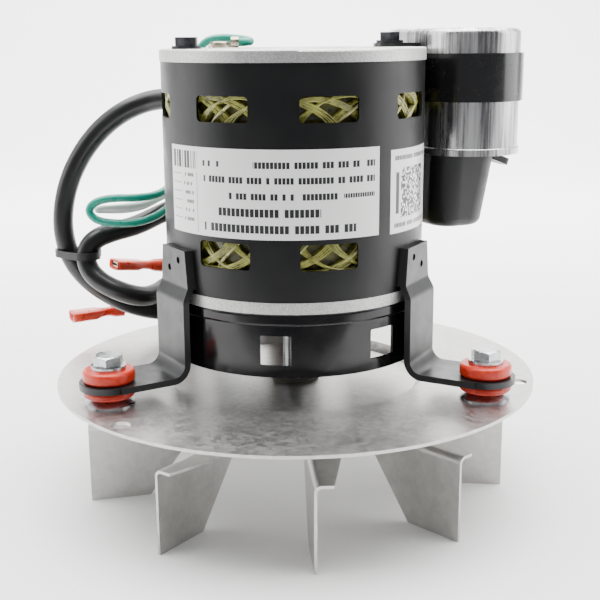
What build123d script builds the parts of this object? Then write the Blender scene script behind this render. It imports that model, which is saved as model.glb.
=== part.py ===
from build123d import *
import math
import os

# Combustion fan: a capacitor-run motor hung by three legs on a round mounting plate,
# with a bladed sheet-metal wheel below the plate. Millimetres, +Z up along the shaft.
# Origin: centre of the mounting plate's lower face, where the plate bolts down.
# A bearing given in degrees is counted from -Y, the front, towards +X.

# mounting plate
PLATE_BEYOND_MOUNTS = 12.3
SHEET = 1.0
RECESS_BEYOND_SHELL = 2.3
RECESS_SLOPE = 3.0
RECESS_DEPTH = 3.0
RIM_HOLE_INSET = 4.8
RIM_HOLE_R = 2.8
RIM_HOLE_BEARINGS = [-43, 77, 197]
PLATE_BORE_R = 5.2

# motor shell, end shields and skirt
SHELL_R = 42.2
SHELL_WALL = 1.0
SHELL_LOW = 34.2
SHELL_HEIGHT = 69.9
SHIELD_PROUD = 0.3
FRONT_RIM = 3.5
REAR_RIM = 3.8
REAR_RIM_ROUND = 0.8
SPIGOT = 2.8
SPIGOT_WALL = 1.7
WEB = 3.0
HUB_WALL = 3.0
BEAD_HEIGHT = 3.7
BEAD_PROUD = 0.4
SKIRT_HEIGHT = 19.7
SKIRT_FLANGE = 10.2
SKIRT_WINDOW = 9.5
SKIRT_WINDOW_HEIGHT = 9.4
SKIRT_WINDOW_RISE = 3.6
SKIRT_WINDOW_CORNER = 0.5
SKIRT_WINDOW_BEARINGS = [-8, 40, 112, 160, 232, 280]
SHIELD_VENTS = 6
SHIELD_VENT_INSET = 15.2
SHIELD_VENT_FROM_BOLT = 30
SHIELD_VENT_LONG = 13.0
SHIELD_VENT_WIDE = 8.0

# vent windows in the shell
WINDOWS = 8
WINDOW_FIRST = -75.3
WINDOW_WIDTH = 17.9
WINDOW_CORNER = 1.4
WINDOW_CUT = 8.0
UPPER_WINDOW_HEIGHT = 7.6
UPPER_WINDOW_DROP = 9.4
LOWER_WINDOW_HEIGHT = 8.0
LOWER_WINDOW_RISE = 9.5

# stator and rotor
STACK = 30.0
STACK_RISE = 19.8
SLOTS = 24
SLOT_WIDTH = 3.4
SLOT_DEPTH = 10.5
SLOT_MOUTH = 1.6
SLOT_LIP = 1.2
STATOR_BORE_R = 22.5
AIR_GAP = 0.3
OVERHANG_BEYOND_BORE = 2.5
OVERHANG_GAP = 2.7
OVERHANG_HEIGHT = 13.0
OVERHANG_ROUND = 4.0
END_RING_INSET = 1.0
END_RING_BORE_R = 13.0
END_RING = 4.0
END_RING_FINS = 8
END_RING_FIN = 2.5
PROTECTOR = (16.0, 8.0, 3.6)
PROTECTOR_CORNER = 1.5
PROTECTOR_BEARING = 150

# shaft and ball bearings
SHAFT_R = 3.97
SEAT_R = 4.0
SEAT_SHOULDER = 0.8
SHAFT_BODY_R = 6.0
SHAFT_BODY_INSET = 2.0
SHAFT_BELOW = 31.0
FLAT_DEPTH = 0.8
BEARING_R = 11.0
BEARING_WIDTH = 7.0
RING_SHARE = 0.27
BALL_SHARE = 0.283
CAGE_SHARE = 0.1
BALLS = 7
BALL_CLEAR = 0.05
CAGE_RIM = 0.72
CAGE_CLEAR = 0.25
WAVE_WASHER = 0.5
SHAFT_END_GAP = 0.4
FRONT_BEARING_RISE = 0.3
REAR_BEARING_DROP = 1.1
FRONT_SHAFT_HOLE_R = 5.2
SHAFT_BODY_RELIEF = 1.0

# wheel, hub and set screw
WHEEL_R = 70.8
WHEEL_SHEET = 0.9
WHEEL_DROP = 11.9
BLADES = 9
BLADE_FIRST = 4.1
BLADE_HEIGHT = 27.4
BLADE_FOLD_R = 2.2
BLADE_FOOT_IN_R = 51.0
BLADE_ROOT_R = 29.5
BLADE_SCOOP = [(36.0, 20.0), (43.5, 10.0)]
DISC_R = 31.0
ARM_TIP = 5.8
ARM_MIDDLE = 10.3
ARM_MIDDLE_R = 49.0
ARM_ROOT = 14.3
ARM_START_R = 20.0
BLANK_BEYOND = 8.0
HUB_R = 9.5
HUB_GAP = 1.5
HUB_FLANGE_R = 15.5
HUB_FLANGE = 2.0
PILOT_R = 7.5
PILOT = 2.4
RIVETS = 4
RIVET_PITCH_R = 12.4
RIVET_R = 1.6
RIVET_HEAD_R = 2.7
RIVET_HEAD = 1.1
RIVET_FIRST = 10
SET_SCREW_R = 2.4
SET_SCREW_BEARING = 24.0

# shaft seal on the plate
SEAL_R = 8.0
SEAL = 1.2
SEAL_RUNNING_CLEAR = 0.06
COLLAR_R = 6.2
COLLAR = 1.6
COLLAR_TEETH = 20
COLLAR_TOOTH = 0.5

# legs and their rubber mounts
LEG_BEARINGS = {"leg_left": -58.5, "leg_rear": 181.5, "leg_right": 61.5}
LEG_WIDTH = 19.5
STRAP = 2.0
PAD_RISE = 1.6
PAD_HEIGHT = 11.9
PAD_TOP_WIDTH = 15.6
LEG_STAND_OFF = 2.9
LEG_BEND_R = 5.0
JOG_BEND_R = 3.0
JOG = 3.8
MOUNT_BEYOND_LEG = 22.4
FOOT_RISE = 5.4
FOOT_END_R = 9.2
DIMPLE_R = 1.1
DIMPLE_DEPTH = 0.6
DIMPLE_SPREAD = 6.4
DIMPLE_RISE = 6.9
DIMPLE_STAGGER = 3.2
GROMMET_R = 8.05
GROMMET_GROOVE_R = 5.2
GROMMET_LOWER = 2.7
GROMMET_UPPER = 4.0
GROMMET_ROUND = 1.13
SLEEVE_R = 3.6
SLEEVE_WALL = 1.1
CONE_R = 7.75
CONE_TOP_R = 4.6
CONE_EDGE = 0.6
MOUNT_SCREW_R = 2.4
MOUNT_HEAD_R = 4.8
MOUNT_FLANGE_R = 5.4
MOUNT_FLANGE = 1.2
MOUNT_HEAD = 4.4
MOUNT_HEAD_CROWN = 1.0
PLATE_NUT_R = 5.0
PLATE_NUT = 3.2

# through bolts and ground screw
BOLT_INSET = 5.2
BOLT_BEARINGS = [-64, 116]
BOLT_R = 2.1
BOLT_CLEAR = 0.3
WINDING_CLEAR = 1.2
BOLT_HEAD_R = 3.67
BOLT_FLANGE_R = 4.5
BOLT_FLANGE = 0.9
BOLT_HEAD = 3.5
BOLT_DISH_R = 2.0
BOLT_DISH = 0.7
BOLT_NUT_R = 4.6
BOLT_NUT = 3.2
BOLT_TAIL = 2.0
GROUND_SCREW_FROM_EXIT = (13.86, 2.29)
GROUND_SCREW_R = 1.8
GROUND_SCREW_HEAD_R = 3.2
GROUND_SCREW_HEAD = 1.3
GROUND_SCREW_ROUND = 0.91
GROUND_SCREW_SLOT = 0.8
GROUND_SCREW_TURN = 35

# run capacitor, its strap and boot
CAN_LONG = 54.9
CAN_WIDE = 33.3
CAN_HEIGHT = 41.0
CAN_RISE = 38.5
CAN_ROUND = 2.0
CAN_RIM = 2.4
CAN_RIM_PROUD = 0.5
CAN_WALL = 1.5
STRAP_BAND = 1.2
STRAP_GAP = 0.55
STRAP_LOW = 56.0
STRAP_HEIGHT = 15.5
EAR_WIDTH = 11.0
TONGUE_LAP = 1.0
BOOT_HEIGHT = 24.5
BOOT_WALL = 2.0
BOOT_INSET = 1.0
BOOT_CORNER = 8.0
BOOT_FOOT_ROUND = 3.0
BOOT_OUT_TOP = 8.2
BOOT_OUT_FOOT = 4.2
BOOT_HALF_TOP = 20.0
BOOT_HALF_FOOT = 18.4
BOOT_EAR = (9.6, 8.0, 2.2)
BOOT_EAR_DROOP = 20.0
BOOT_EAR_LAP = 1.2
BOOT_EAR_SIDE = 9.9
BOOT_EAR_ROUND = 2.5
TERMINAL_BLADE = (6.35, 0.8, 9.0)
TERMINAL_SPREAD = 18.0

# labels
LABEL = 0.1
RATING_LABEL = (-62, 37, 19.0, 26.5)
CODE_LABEL = (43.6, 80.0, 18.5, 25.5)

# cable bushing, sleeve and leads
BUSHING_BEARING = WINDOW_FIRST - 360 / WINDOWS
BUSHING_PROUD = 2.8
BUSHING_PLAY = 0.1
CABLE_ABOVE_MIDDLE = 0.1
SLEEVE_DIAMETER = 7.2
LEAD_DIAMETER = 2.8
TERMINAL_BARREL_R = 2.6
TERMINAL_BARREL = 9.0
TERMINAL_HOOD = (11.0, 8.0, 4.0)
TERMINAL_HOOD_ROUND = 1.6
TERMINAL_FLOOR = 1.5
RECEPTACLE_SIDE = 0.7
RECEPTACLE_TALL = 1.8
RECEPTACLE_SHORT = 2.3
RECEPTACLE_WALL = 0.45
RECEPTACLE_BACK = 1.0
RECEPTACLE_SLIT = 0.9
RING_TERMINAL_R = 4.0
RING_TERMINAL = 0.8
RING_CRIMP = 2.6
RING_NECK_GAP = 0.2
TIE_WIDTH = 2.6
TIE_BAND = 1.0
TIE_HEAD = (5.0, 4.0, 4.2)
TIE_PLAY = 0.4
TIE_AT = [(-81.7, 30.8), (-74.4, 25.2)]
TIE_Z = 36.0

# derived radii
SHELL_BORE_R = SHELL_R - SHELL_WALL
SHIELD_BORE_R = SHELL_BORE_R - SPIGOT_WALL
LEG_OUT_R = SHELL_R + LEG_STAND_OFF
MOUNT_R = LEG_OUT_R + MOUNT_BEYOND_LEG
PLATE_R = MOUNT_R + PLATE_BEYOND_MOUNTS
RIM_HOLE_PITCH_R = PLATE_R - RIM_HOLE_INSET
RECESS_R = SHELL_R + RECESS_BEYOND_SHELL
RECESS_FLOOR_R = RECESS_R - RECESS_SLOPE
BOLT_PITCH_R = SHELL_BORE_R - BOLT_INSET
SHIELD_VENT_R = SHELL_BORE_R - SHIELD_VENT_INSET
SKIRT_FLANGE_R = SHELL_BORE_R - SKIRT_FLANGE
OVERHANG_IN_R = STATOR_BORE_R + OVERHANG_BEYOND_BORE
OVERHANG_OUT_R = SHELL_BORE_R - OVERHANG_GAP
OVERHANG_MIDDLE_R = (OVERHANG_IN_R + OVERHANG_OUT_R) / 2
END_RING_R = STATOR_BORE_R - END_RING_INSET
BEARING_WALL = BEARING_R - SEAT_R
INNER_RING_R = SEAT_R + RING_SHARE * BEARING_WALL
OUTER_RING_BORE_R = BEARING_R - RING_SHARE * BEARING_WALL
BALL_R = BALL_SHARE * BEARING_WALL
BALL_PITCH_R = (INNER_RING_R + OUTER_RING_BORE_R) / 2
CAGE_WALL = CAGE_SHARE * BEARING_WALL
CAGE_WIDTH = 2 * (BALL_R + CAGE_RIM)
CAN_BEARING = BOLT_BEARINGS[1]
CAN_INNER = -CAN_WIDE / 2
CAN_CENTRE_R = SHELL_R + SHIELD_PROUD + STRAP_GAP + STRAP_BAND + CAN_WIDE / 2

# derived levels
PLATE_TOP = SHEET
FLOOR_LOW = -RECESS_DEPTH
FLOOR_TOP = FLOOR_LOW + SHEET
SHELL_TOP = SHELL_LOW + SHELL_HEIGHT
REAR_TOP = SHELL_TOP + REAR_RIM
FRONT_LOW = SHELL_LOW - FRONT_RIM
SKIRT_LOW = FRONT_LOW - SKIRT_HEIGHT
STACK_LOW = SHELL_LOW + STACK_RISE
STACK_TOP = STACK_LOW + STACK
FRONT_BEARING_LOW = SHELL_LOW + FRONT_BEARING_RISE
REAR_BEARING_TOP = SHELL_TOP - REAR_BEARING_DROP
REAR_BEARING_LOW = REAR_BEARING_TOP - BEARING_WIDTH
WHEEL_TOP = -WHEEL_DROP
HUB_TOP = FLOOR_LOW - HUB_GAP
FOOT_LOW = PLATE_TOP + FOOT_RISE
FOOT_TOP = FOOT_LOW + STRAP
GROMMET_LOW = FOOT_LOW - GROMMET_LOWER
GROMMET_TOP = FOOT_TOP + GROMMET_UPPER
CAN_LOW = SHELL_LOW + CAN_RISE
BUSHING_Z = SHELL_TOP - UPPER_WINDOW_DROP - UPPER_WINDOW_HEIGHT / 2

# Cable routes, each a hand-set list of corner points that moves with the bushing. The
# sleeve leaves the bushing, hangs in a wide loop, doubles back behind the motor and comes
# round in a small loop.
SLEEVE_ROUTE = [
    (-38.86, 22.71, 91.0), (-46.8, 27.35, 91.0), (-57.0, 28.8, 87.8), (-65.6, 29.6, 82.4),
    (-73.2, 30.2, 74.5), (-79.0, 30.4, 65.0), (-82.5, 30.4, 54.6), (-83.5, 30.5, 44.4),
    (-81.8, 30.8, 35.0), (-77.2, 31.6, 27.0), (-70.2, 33.4, 20.4), (-61.6, 36.6, 14.8),
    (-52.4, 41.2, 11.2), (-42.8, 46.2, 10.0), (-33.4, 50.4, 12.6), (-25.6, 53.2, 19.6),
    (-21.0, 54.4, 29.6), (-22.4, 54.2, 40.2), (-29.4, 52.6, 48.4), (-39.2, 48.4, 51.4),
    (-48.8, 41.6, 48.4), (-57.2, 34.0, 45.0), (-65.2, 28.6, 43.8), (-71.6, 26.0, 41.6),
    (-74.9, 25.4, 36.6), (-73.6, 24.0, 30.6), (-68.6, 22.2, 26.2), (-61.4, 21.4, 23.0),
    (-54.6, 24.0, 20.6), (-50.2, 31.4, 20.4), (-47.4, 40.6, 21.4), (-43.8, 49.8, 19.8),
    (-38.6, 58.0, 16.8),
]
WHITE_ROUTE = [
    (-40.0, 58.6, 16.0), (-36.6, 64.0, 14.0), (-31.5, 71.0, 12.6), (-24.2, 74.6, 18.6),
    (-21.2, 72.4, 30.6), (-22.8, 67.6, 43.6), (-29.2, 60.4, 53.0), (-36.6, 52.0, 57.4),
    (-43.5, 42.0, 57.2), (-49.5, 31.5, 54.9), (-56.0, 23.8, 53.8), (-62.4, 21.0, 53.4),
    (-68.0, 20.8, 53.1), (-69.4, 23.2, 52.7), (-68.0, 25.6, 52.3), (-62.4, 26.4, 52.0),
    (-56.6, 29.8, 52.0), (-51.4, 36.2, 53.4), (-46.8, 43.8, 56.2), (-43.2, 51.0, 56.4),
    (-42.4, 58.4, 52.4), (-43.4, 64.6, 44.0), (-42.6, 68.6, 33.4), (-40.4, 70.4, 22.6),
    (-39.0, 67.6, 13.4), (-42.8, 61.6, 9.2), (-49.0, 54.8, 9.0), (-55.6, 49.0, 10.2),
    (-61.8, 45.7, 11.1), (-65.2, 44.2, 11.0),
]
RED_ROUTE = [
    (-38.3, 58.4, 18.4), (-35.3, 63.2, 17.4), (-30.8, 67.6, 19.2), (-26.8, 68.8, 25.0),
    (-28.6, 66.6, 30.6), (-34.4, 62.2, 31.4), (-39.6, 57.6, 27.8), (-44.4, 53.6, 26.0),
    (-50.6, 49.6, 27.0),
]
GREEN_ROUTE = [
    (-37.5, 57.0, 16.0), (-33.6, 62.8, 14.0), (-26.4, 68.8, 15.0), (-19.6, 70.4, 24.0),
    (-18.4, 67.0, 38.6), (-21.4, 62.0, 50.0), (-28.2, 55.2, 58.6), (-36.6, 45.8, 62.4),
    (-42.8, 35.4, 60.8), (-47.4, 26.4, 57.4), (-54.6, 20.8, 57.0), (-63.2, 18.8, 57.4),
    (-69.2, 18.6, 56.2), (-71.9, 18.8, 53.0), (-69.4, 18.8, 49.6), (-63.6, 19.0, 48.4),
    (-54.8, 20.6, 48.2), (-47.6, 25.8, 50.2), (-42.2, 33.2, 54.6), (-36.4, 38.8, 60.4),
]
GROUND_ROUTE = [
    (-18.4, 25.0, 109.7), (-15.9, 25.0, 109.7), (-14.2, 27.6, 109.9), (-15.6, 30.2, 110.3),
    (-19.4, 31.2, 110.9), (-24.6, 31.4, 111.2), (-29.6, 32.6, 110.6), (-33.6, 34.4, 106.6),
    (-36.8, 35.4, 101.4), (-38.9, 34.2, 96.6), (-39.2, 29.2, 92.8), (-36.1, 27.4, 92.4),
]


def at_bearing(radius, bearing, z=0.0):
    angle = math.radians(bearing)
    return (radius * math.sin(angle), -radius * math.cos(angle), z)


# where the cable leaves the bushing; the routes and the ground screw go with it
CABLE_EXIT = at_bearing(SHELL_R + BUSHING_PROUD, BUSHING_BEARING, BUSHING_Z + CABLE_ABOVE_MIDDLE)
CABLE_SHIFT = [exit_at - set_at for exit_at, set_at in zip(CABLE_EXIT, SLEEVE_ROUTE[0])]
GROUND_SCREW_X = CABLE_EXIT[0] + GROUND_SCREW_FROM_EXIT[0]
GROUND_SCREW_Y = CABLE_EXIT[1] + GROUND_SCREW_FROM_EXIT[1]


def with_bushing(points):
    """The points of a route, moved with the bushing."""
    return [tuple(c + s for c, s in zip(p, CABLE_SHIFT)) for p in points]


def place(radius, bearing, z=0.0):
    """A place at a radius and bearing, with local X pointing outwards."""
    return Location(at_bearing(radius, bearing, z), (0, 0, bearing - 90))


def spread(count, first=0.0):
    return [first + 360 * k / count for k in range(count)]


def disc(radius, low, high, hole=0.0):
    ring = Pos(0, 0, low) * extrude(Circle(radius), high - low)
    if hole:
        ring -= Pos(0, 0, low) * extrude(Circle(hole), high - low)
    return ring


def stadium(long, wide, low, high):
    return Pos(0, 0, low) * extrude(SlotOverall(long, wide, rotation=90), high - low)


def hexagon(radius, low, high):
    return Pos(0, 0, low) * extrude(RegularPolygon(radius, 6), high - low)


def at_each(piece, radius, bearings, z=0.0):
    return [place(radius, b, z) * piece for b in bearings]


def sector(inner, outer, low, high, start, stop):
    """A piece of tube between two bearings."""
    profile = Plane.XZ * Pos((inner + outer) / 2, (low + high) / 2) * Rectangle(
        outer - inner, high - low
    )
    return Rot(0, 0, start - 90) * revolve(profile, Axis.Z, stop - start)


def bolt_holes(radius, low, high):
    """Round holes for the two through bolts."""
    hole = disc(radius, low, high)
    return at_each(hole, BOLT_PITCH_R, BOLT_BEARINGS)


def mounting_plate():
    points = [
        (PLATE_BORE_R, FLOOR_LOW), (RECESS_FLOOR_R, FLOOR_LOW), (RECESS_R, 0), (PLATE_R, 0),
        (PLATE_R, PLATE_TOP), (RECESS_R - SHEET / 2, PLATE_TOP),
        (RECESS_FLOOR_R - SHEET / 2, FLOOR_TOP), (PLATE_BORE_R, FLOOR_TOP),
    ]
    plate = revolve(make_face(Plane.XZ * Polyline(*points, close=True)), Axis.Z)
    plate -= at_each(disc(RIM_HOLE_R, 0, PLATE_TOP), RIM_HOLE_PITCH_R, RIM_HOLE_BEARINGS)
    plate -= at_each(disc(MOUNT_SCREW_R, 0, PLATE_TOP), MOUNT_R, LEG_BEARINGS.values())
    return plate


def facing_out(radius, bearing, z):
    """A place on the shell whose local Z points outwards and local X runs round the shell."""
    return place(radius, bearing, z) * Rot(0, 90, 0) * Rot(0, 0, 90)


def window_cut(width, height, bearing, z_middle, corner=WINDOW_CORNER):
    cut = extrude(Rectangle(width, height), WINDOW_CUT, both=True)
    cut = fillet(cut.edges().filter_by(Axis.Z), corner)
    return facing_out(SHELL_R, bearing, z_middle) * cut


def leg_covers(bearing):
    half = math.degrees(LEG_WIDTH / 2 / SHELL_R + WINDOW_WIDTH / 2 / SHELL_R)
    gaps = [abs((bearing - leg + 180) % 360 - 180) for leg in LEG_BEARINGS.values()]
    return min(gaps) < half


def motor_shell():
    shell = disc(SHELL_R, SHELL_LOW, SHELL_TOP, SHELL_BORE_R)
    lower_z = SHELL_LOW + LOWER_WINDOW_RISE + LOWER_WINDOW_HEIGHT / 2
    cuts = []
    for bearing in spread(WINDOWS, WINDOW_FIRST):
        cuts.append(window_cut(WINDOW_WIDTH, UPPER_WINDOW_HEIGHT, bearing, BUSHING_Z))
        if not leg_covers(bearing):
            cuts.append(window_cut(WINDOW_WIDTH, LOWER_WINDOW_HEIGHT, bearing, lower_z))
    return shell - cuts


def shield_vents(low, high):
    vent = Pos(0, 0, low) * extrude(SlotOverall(SHIELD_VENT_LONG, SHIELD_VENT_WIDE), high - low)
    turned = Rot(0, 0, 90) * vent
    first = BOLT_BEARINGS[0] + SHIELD_VENT_FROM_BOLT
    return at_each(turned, SHIELD_VENT_R, spread(SHIELD_VENTS, first))


def rear_end_shield():
    shield = disc(SHELL_R + SHIELD_PROUD, SHELL_TOP, REAR_TOP, SHIELD_BORE_R)
    shield += disc(SHELL_BORE_R, SHELL_TOP - SPIGOT, REAR_TOP, SHIELD_BORE_R)
    shield += disc(SHELL_BORE_R, REAR_TOP - WEB, REAR_TOP)
    shield += disc(BEARING_R + HUB_WALL, REAR_BEARING_LOW, REAR_TOP)
    shield -= disc(BEARING_R, REAR_BEARING_LOW, REAR_BEARING_TOP + WAVE_WASHER)
    shield -= disc(SHAFT_BODY_R, REAR_BEARING_LOW, REAR_TOP - WEB / 2)
    shield -= shield_vents(REAR_TOP - WEB, REAR_TOP)
    shield -= bolt_holes(BOLT_R + BOLT_CLEAR, REAR_TOP - WEB, REAR_TOP)
    tapped = disc(GROUND_SCREW_R, REAR_TOP - WEB, REAR_TOP)
    shield -= Pos(GROUND_SCREW_X, GROUND_SCREW_Y, 0) * tapped
    top_rim = shield.faces().sort_by(Axis.Z)[-1].outer_wire().edges()
    return fillet(top_rim, REAR_RIM_ROUND)


def front_end_shield():
    hub_top = FRONT_BEARING_LOW + BEARING_WIDTH
    shield = disc(SHELL_R + SHIELD_PROUD, FRONT_LOW, SHELL_LOW)
    shield += disc(SHELL_BORE_R, FRONT_LOW, SHELL_LOW + SPIGOT)
    shield -= disc(SHIELD_BORE_R, FRONT_LOW + WEB, SHELL_LOW + SPIGOT)
    shield += disc(BEARING_R + HUB_WALL, FRONT_LOW, hub_top)
    shield -= disc(BEARING_R, FRONT_BEARING_LOW, hub_top)
    shield -= disc(FRONT_SHAFT_HOLE_R, FRONT_LOW, FRONT_BEARING_LOW)
    shield -= disc(SHAFT_BODY_R, FRONT_BEARING_LOW - SHAFT_BODY_RELIEF, FRONT_BEARING_LOW)
    shield -= shield_vents(FRONT_LOW, FRONT_LOW + WEB)
    return shield - bolt_holes(BOLT_R + BOLT_CLEAR, FRONT_LOW, FRONT_LOW + WEB)


def motor_skirt():
    bead = disc(SHELL_R + BEAD_PROUD, FRONT_LOW - BEAD_HEIGHT, FRONT_LOW, SHELL_BORE_R)
    rims = bead.edges().filter_by(GeomType.CIRCLE).group_by(SortBy.RADIUS)[-1]
    bead = fillet(rims, BEAD_PROUD * 2)
    skirt = bead + disc(SHELL_R, SKIRT_LOW, FRONT_LOW - BEAD_HEIGHT / 2, SHELL_BORE_R)
    skirt += disc(SHELL_BORE_R, FRONT_LOW - SHEET, FRONT_LOW, SKIRT_FLANGE_R)
    middle = SKIRT_LOW + SKIRT_WINDOW_RISE + SKIRT_WINDOW_HEIGHT / 2
    skirt -= [
        window_cut(SKIRT_WINDOW, SKIRT_WINDOW_HEIGHT, b, middle, SKIRT_WINDOW_CORNER)
        for b in SKIRT_WINDOW_BEARINGS
    ]
    return skirt - bolt_holes(BOLT_R + BOLT_CLEAR, FRONT_LOW - SHEET, FRONT_LOW)


def slot_cut(low, high):
    """One slot and its narrow mouth, standing on the +X side."""
    body_in = STATOR_BORE_R + SLOT_LIP
    body = Pos(body_in + SLOT_DEPTH / 2, 0, low) * extrude(
        SlotOverall(SLOT_DEPTH, SLOT_WIDTH), high - low
    )
    mouth = Pos(body_in, 0, low) * extrude(Rectangle(4 * SLOT_LIP, SLOT_MOUTH), high - low)
    return body, mouth


def stator_core():
    core = disc(SHELL_BORE_R, STACK_LOW, STACK_TOP, STATOR_BORE_R)
    body, mouth = slot_cut(STACK_LOW, STACK_TOP)
    core -= [Rot(0, 0, a) * piece for a in spread(SLOTS) for piece in (body, mouth)]
    return core - bolt_holes(BOLT_R + BOLT_CLEAR, STACK_LOW, STACK_TOP)


def coil_sides():
    body, mouth = slot_cut(STACK_LOW, STACK_TOP)
    side = body - mouth
    side = side.solids().sort_by(SortBy.VOLUME)[-1]
    return [Rot(0, 0, a) * side for a in spread(SLOTS)]


def slot_wedges():
    """A strip that closes each slot's mouth at the bore."""
    body, mouth = slot_cut(STACK_LOW, STACK_TOP)
    wedge = mouth - disc(STATOR_BORE_R, STACK_LOW, STACK_TOP)
    return [Rot(0, 0, a) * wedge for a in spread(SLOTS)]


def winding_overhang(low):
    profile = RectangleRounded(
        OVERHANG_OUT_R - OVERHANG_IN_R, OVERHANG_HEIGHT, OVERHANG_ROUND
    )
    profile = Plane.XZ * Pos(OVERHANG_MIDDLE_R, low + OVERHANG_HEIGHT / 2) * profile
    ring = revolve(profile, Axis.Z)
    return ring - bolt_holes(BOLT_R + WINDING_CLEAR, low, low + OVERHANG_HEIGHT)


def thermal_protector():
    length, width, height = PROTECTOR
    case = Box(width, length, height, align=(Align.CENTER, Align.CENTER, Align.MIN))
    case = fillet(case.edges().filter_by(Axis.Z), PROTECTOR_CORNER)
    return place(OVERHANG_MIDDLE_R, PROTECTOR_BEARING, STACK_TOP + OVERHANG_HEIGHT) * case


def rotor_core():
    return disc(STATOR_BORE_R - AIR_GAP, STACK_LOW, STACK_TOP, SHAFT_BODY_R)


def rotor_end_ring(low, high, fin_low, fin_high):
    ring = disc(END_RING_R, low, high, END_RING_BORE_R)
    middle = (END_RING_R + END_RING_BORE_R) / 2
    fin = Pos(0, 0, fin_low) * extrude(
        Rectangle(END_RING_R - END_RING_BORE_R - 2, END_RING_FIN), fin_high - fin_low
    )
    for piece in at_each(fin, middle, spread(END_RING_FINS)):
        ring += piece
    return ring


def shaft():
    top = REAR_BEARING_TOP + SHAFT_END_GAP
    rod = disc(SHAFT_R, -SHAFT_BELOW, top)
    rod += disc(SEAT_R, FRONT_BEARING_LOW, FRONT_BEARING_LOW + BEARING_WIDTH)
    rod += disc(SEAT_R, REAR_BEARING_LOW, REAR_BEARING_TOP)
    between = FRONT_BEARING_LOW + BEARING_WIDTH
    rod += disc(SHAFT_BODY_R, between + SHAFT_BODY_INSET, REAR_BEARING_LOW - SHAFT_BODY_INSET)
    rod += disc(SEAT_R + SEAT_SHOULDER, between, REAR_BEARING_LOW)
    flat_length = SHAFT_BELOW + HUB_TOP
    flat = Pos(SHAFT_R, 0, -SHAFT_BELOW) * Box(
        2 * FLAT_DEPTH, 4 * SHAFT_R, flat_length, align=(Align.CENTER, Align.CENTER, Align.MIN)
    )
    return rod - place(0, SET_SCREW_BEARING) * flat


def ball_groove(low):
    tube_r = BALL_R + BALL_CLEAR
    profile = Plane.XZ * Pos(BALL_PITCH_R, low + BEARING_WIDTH / 2) * Circle(tube_r)
    return revolve(profile, Axis.Z)


def bearing_inner_ring(low):
    return disc(INNER_RING_R, low, low + BEARING_WIDTH, SEAT_R) - ball_groove(low)


def bearing_outer_ring(low):
    return disc(BEARING_R, low, low + BEARING_WIDTH, OUTER_RING_BORE_R) - ball_groove(low)


def bearing_balls(low):
    ball = Sphere(BALL_R)
    return at_each(ball, BALL_PITCH_R, spread(BALLS), low + BEARING_WIDTH / 2)


def bearing_cage(low):
    """A ring with a round pocket bored straight through its wall at each ball."""
    middle = low + BEARING_WIDTH / 2
    half = CAGE_WIDTH / 2
    ring = disc(
        BALL_PITCH_R + CAGE_WALL, middle - half, middle + half, BALL_PITCH_R - CAGE_WALL
    )
    pocket = Plane.YZ * extrude(Circle(BALL_R + CAGE_CLEAR), 2 * CAGE_WALL, both=True)
    return ring - at_each(pocket, BALL_PITCH_R, spread(BALLS), middle)


def wave_washer():
    return disc(BEARING_R, REAR_BEARING_TOP, REAR_BEARING_TOP + WAVE_WASHER, OUTER_RING_BORE_R)


def folded_sheet(low):
    """Upright sheet and level sheet joined by a rounded fold, drawn on end and run along +X."""
    reach = ARM_MIDDLE + BLANK_BEYOND
    under = WHEEL_TOP - WHEEL_SHEET
    face = make_face(Polyline(
        (0, low), (0, WHEEL_TOP), (reach, WHEEL_TOP), (reach, under),
        (WHEEL_SHEET, under), (WHEEL_SHEET, low), close=True,
    ))
    outer = face.vertices().sort_by_distance((0, WHEEL_TOP, 0))[0]
    face = fillet(outer, BLADE_FOLD_R)
    inner = face.vertices().sort_by_distance((WHEEL_SHEET, under, 0))[0]
    face = fillet(inner, BLADE_FOLD_R - WHEEL_SHEET)
    return Plane.YZ * extrude(face, WHEEL_R)


def blade():
    """One blade with its folded arm, pointing along +X; the arm lies on the +Y side."""
    low = WHEEL_TOP - BLADE_HEIGHT
    under = WHEEL_TOP - WHEEL_SHEET
    back = -WHEEL_SHEET
    plan = make_face(Polyline(
        (ARM_START_R, back), (WHEEL_R, back), (WHEEL_R, ARM_TIP), (ARM_MIDDLE_R, ARM_MIDDLE),
        (ARM_START_R, ARM_ROOT), close=True,
    ))
    scoop = [(r, low + rise) for r, rise in BLADE_SCOOP]
    side = make_face(Polyline(
        (BLADE_FOOT_IN_R, low), (WHEEL_R, low), (WHEEL_R, WHEEL_TOP), (ARM_START_R, WHEEL_TOP),
        (ARM_START_R, under), (BLADE_ROOT_R, under), *scoop, close=True,
    ))
    from_above = Pos(0, 0, low) * extrude(plan, BLADE_HEIGHT)
    from_side = extrude(Plane.XZ * side, ARM_MIDDLE + BLANK_BEYOND, both=True)
    return folded_sheet(low) & from_above & from_side


def impeller_wheel():
    wheel = disc(DISC_R, WHEEL_TOP - WHEEL_SHEET, WHEEL_TOP)
    one = blade()
    for bearing in spread(BLADES, BLADE_FIRST):
        wheel += Rot(0, 0, bearing - 90) * one
    wheel -= disc(PILOT_R, WHEEL_TOP - WHEEL_SHEET, WHEEL_TOP)
    hole = disc(RIVET_R, WHEEL_TOP - WHEEL_SHEET, WHEEL_TOP)
    return wheel - at_each(hole, RIVET_PITCH_R, spread(RIVETS, RIVET_FIRST))


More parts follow.
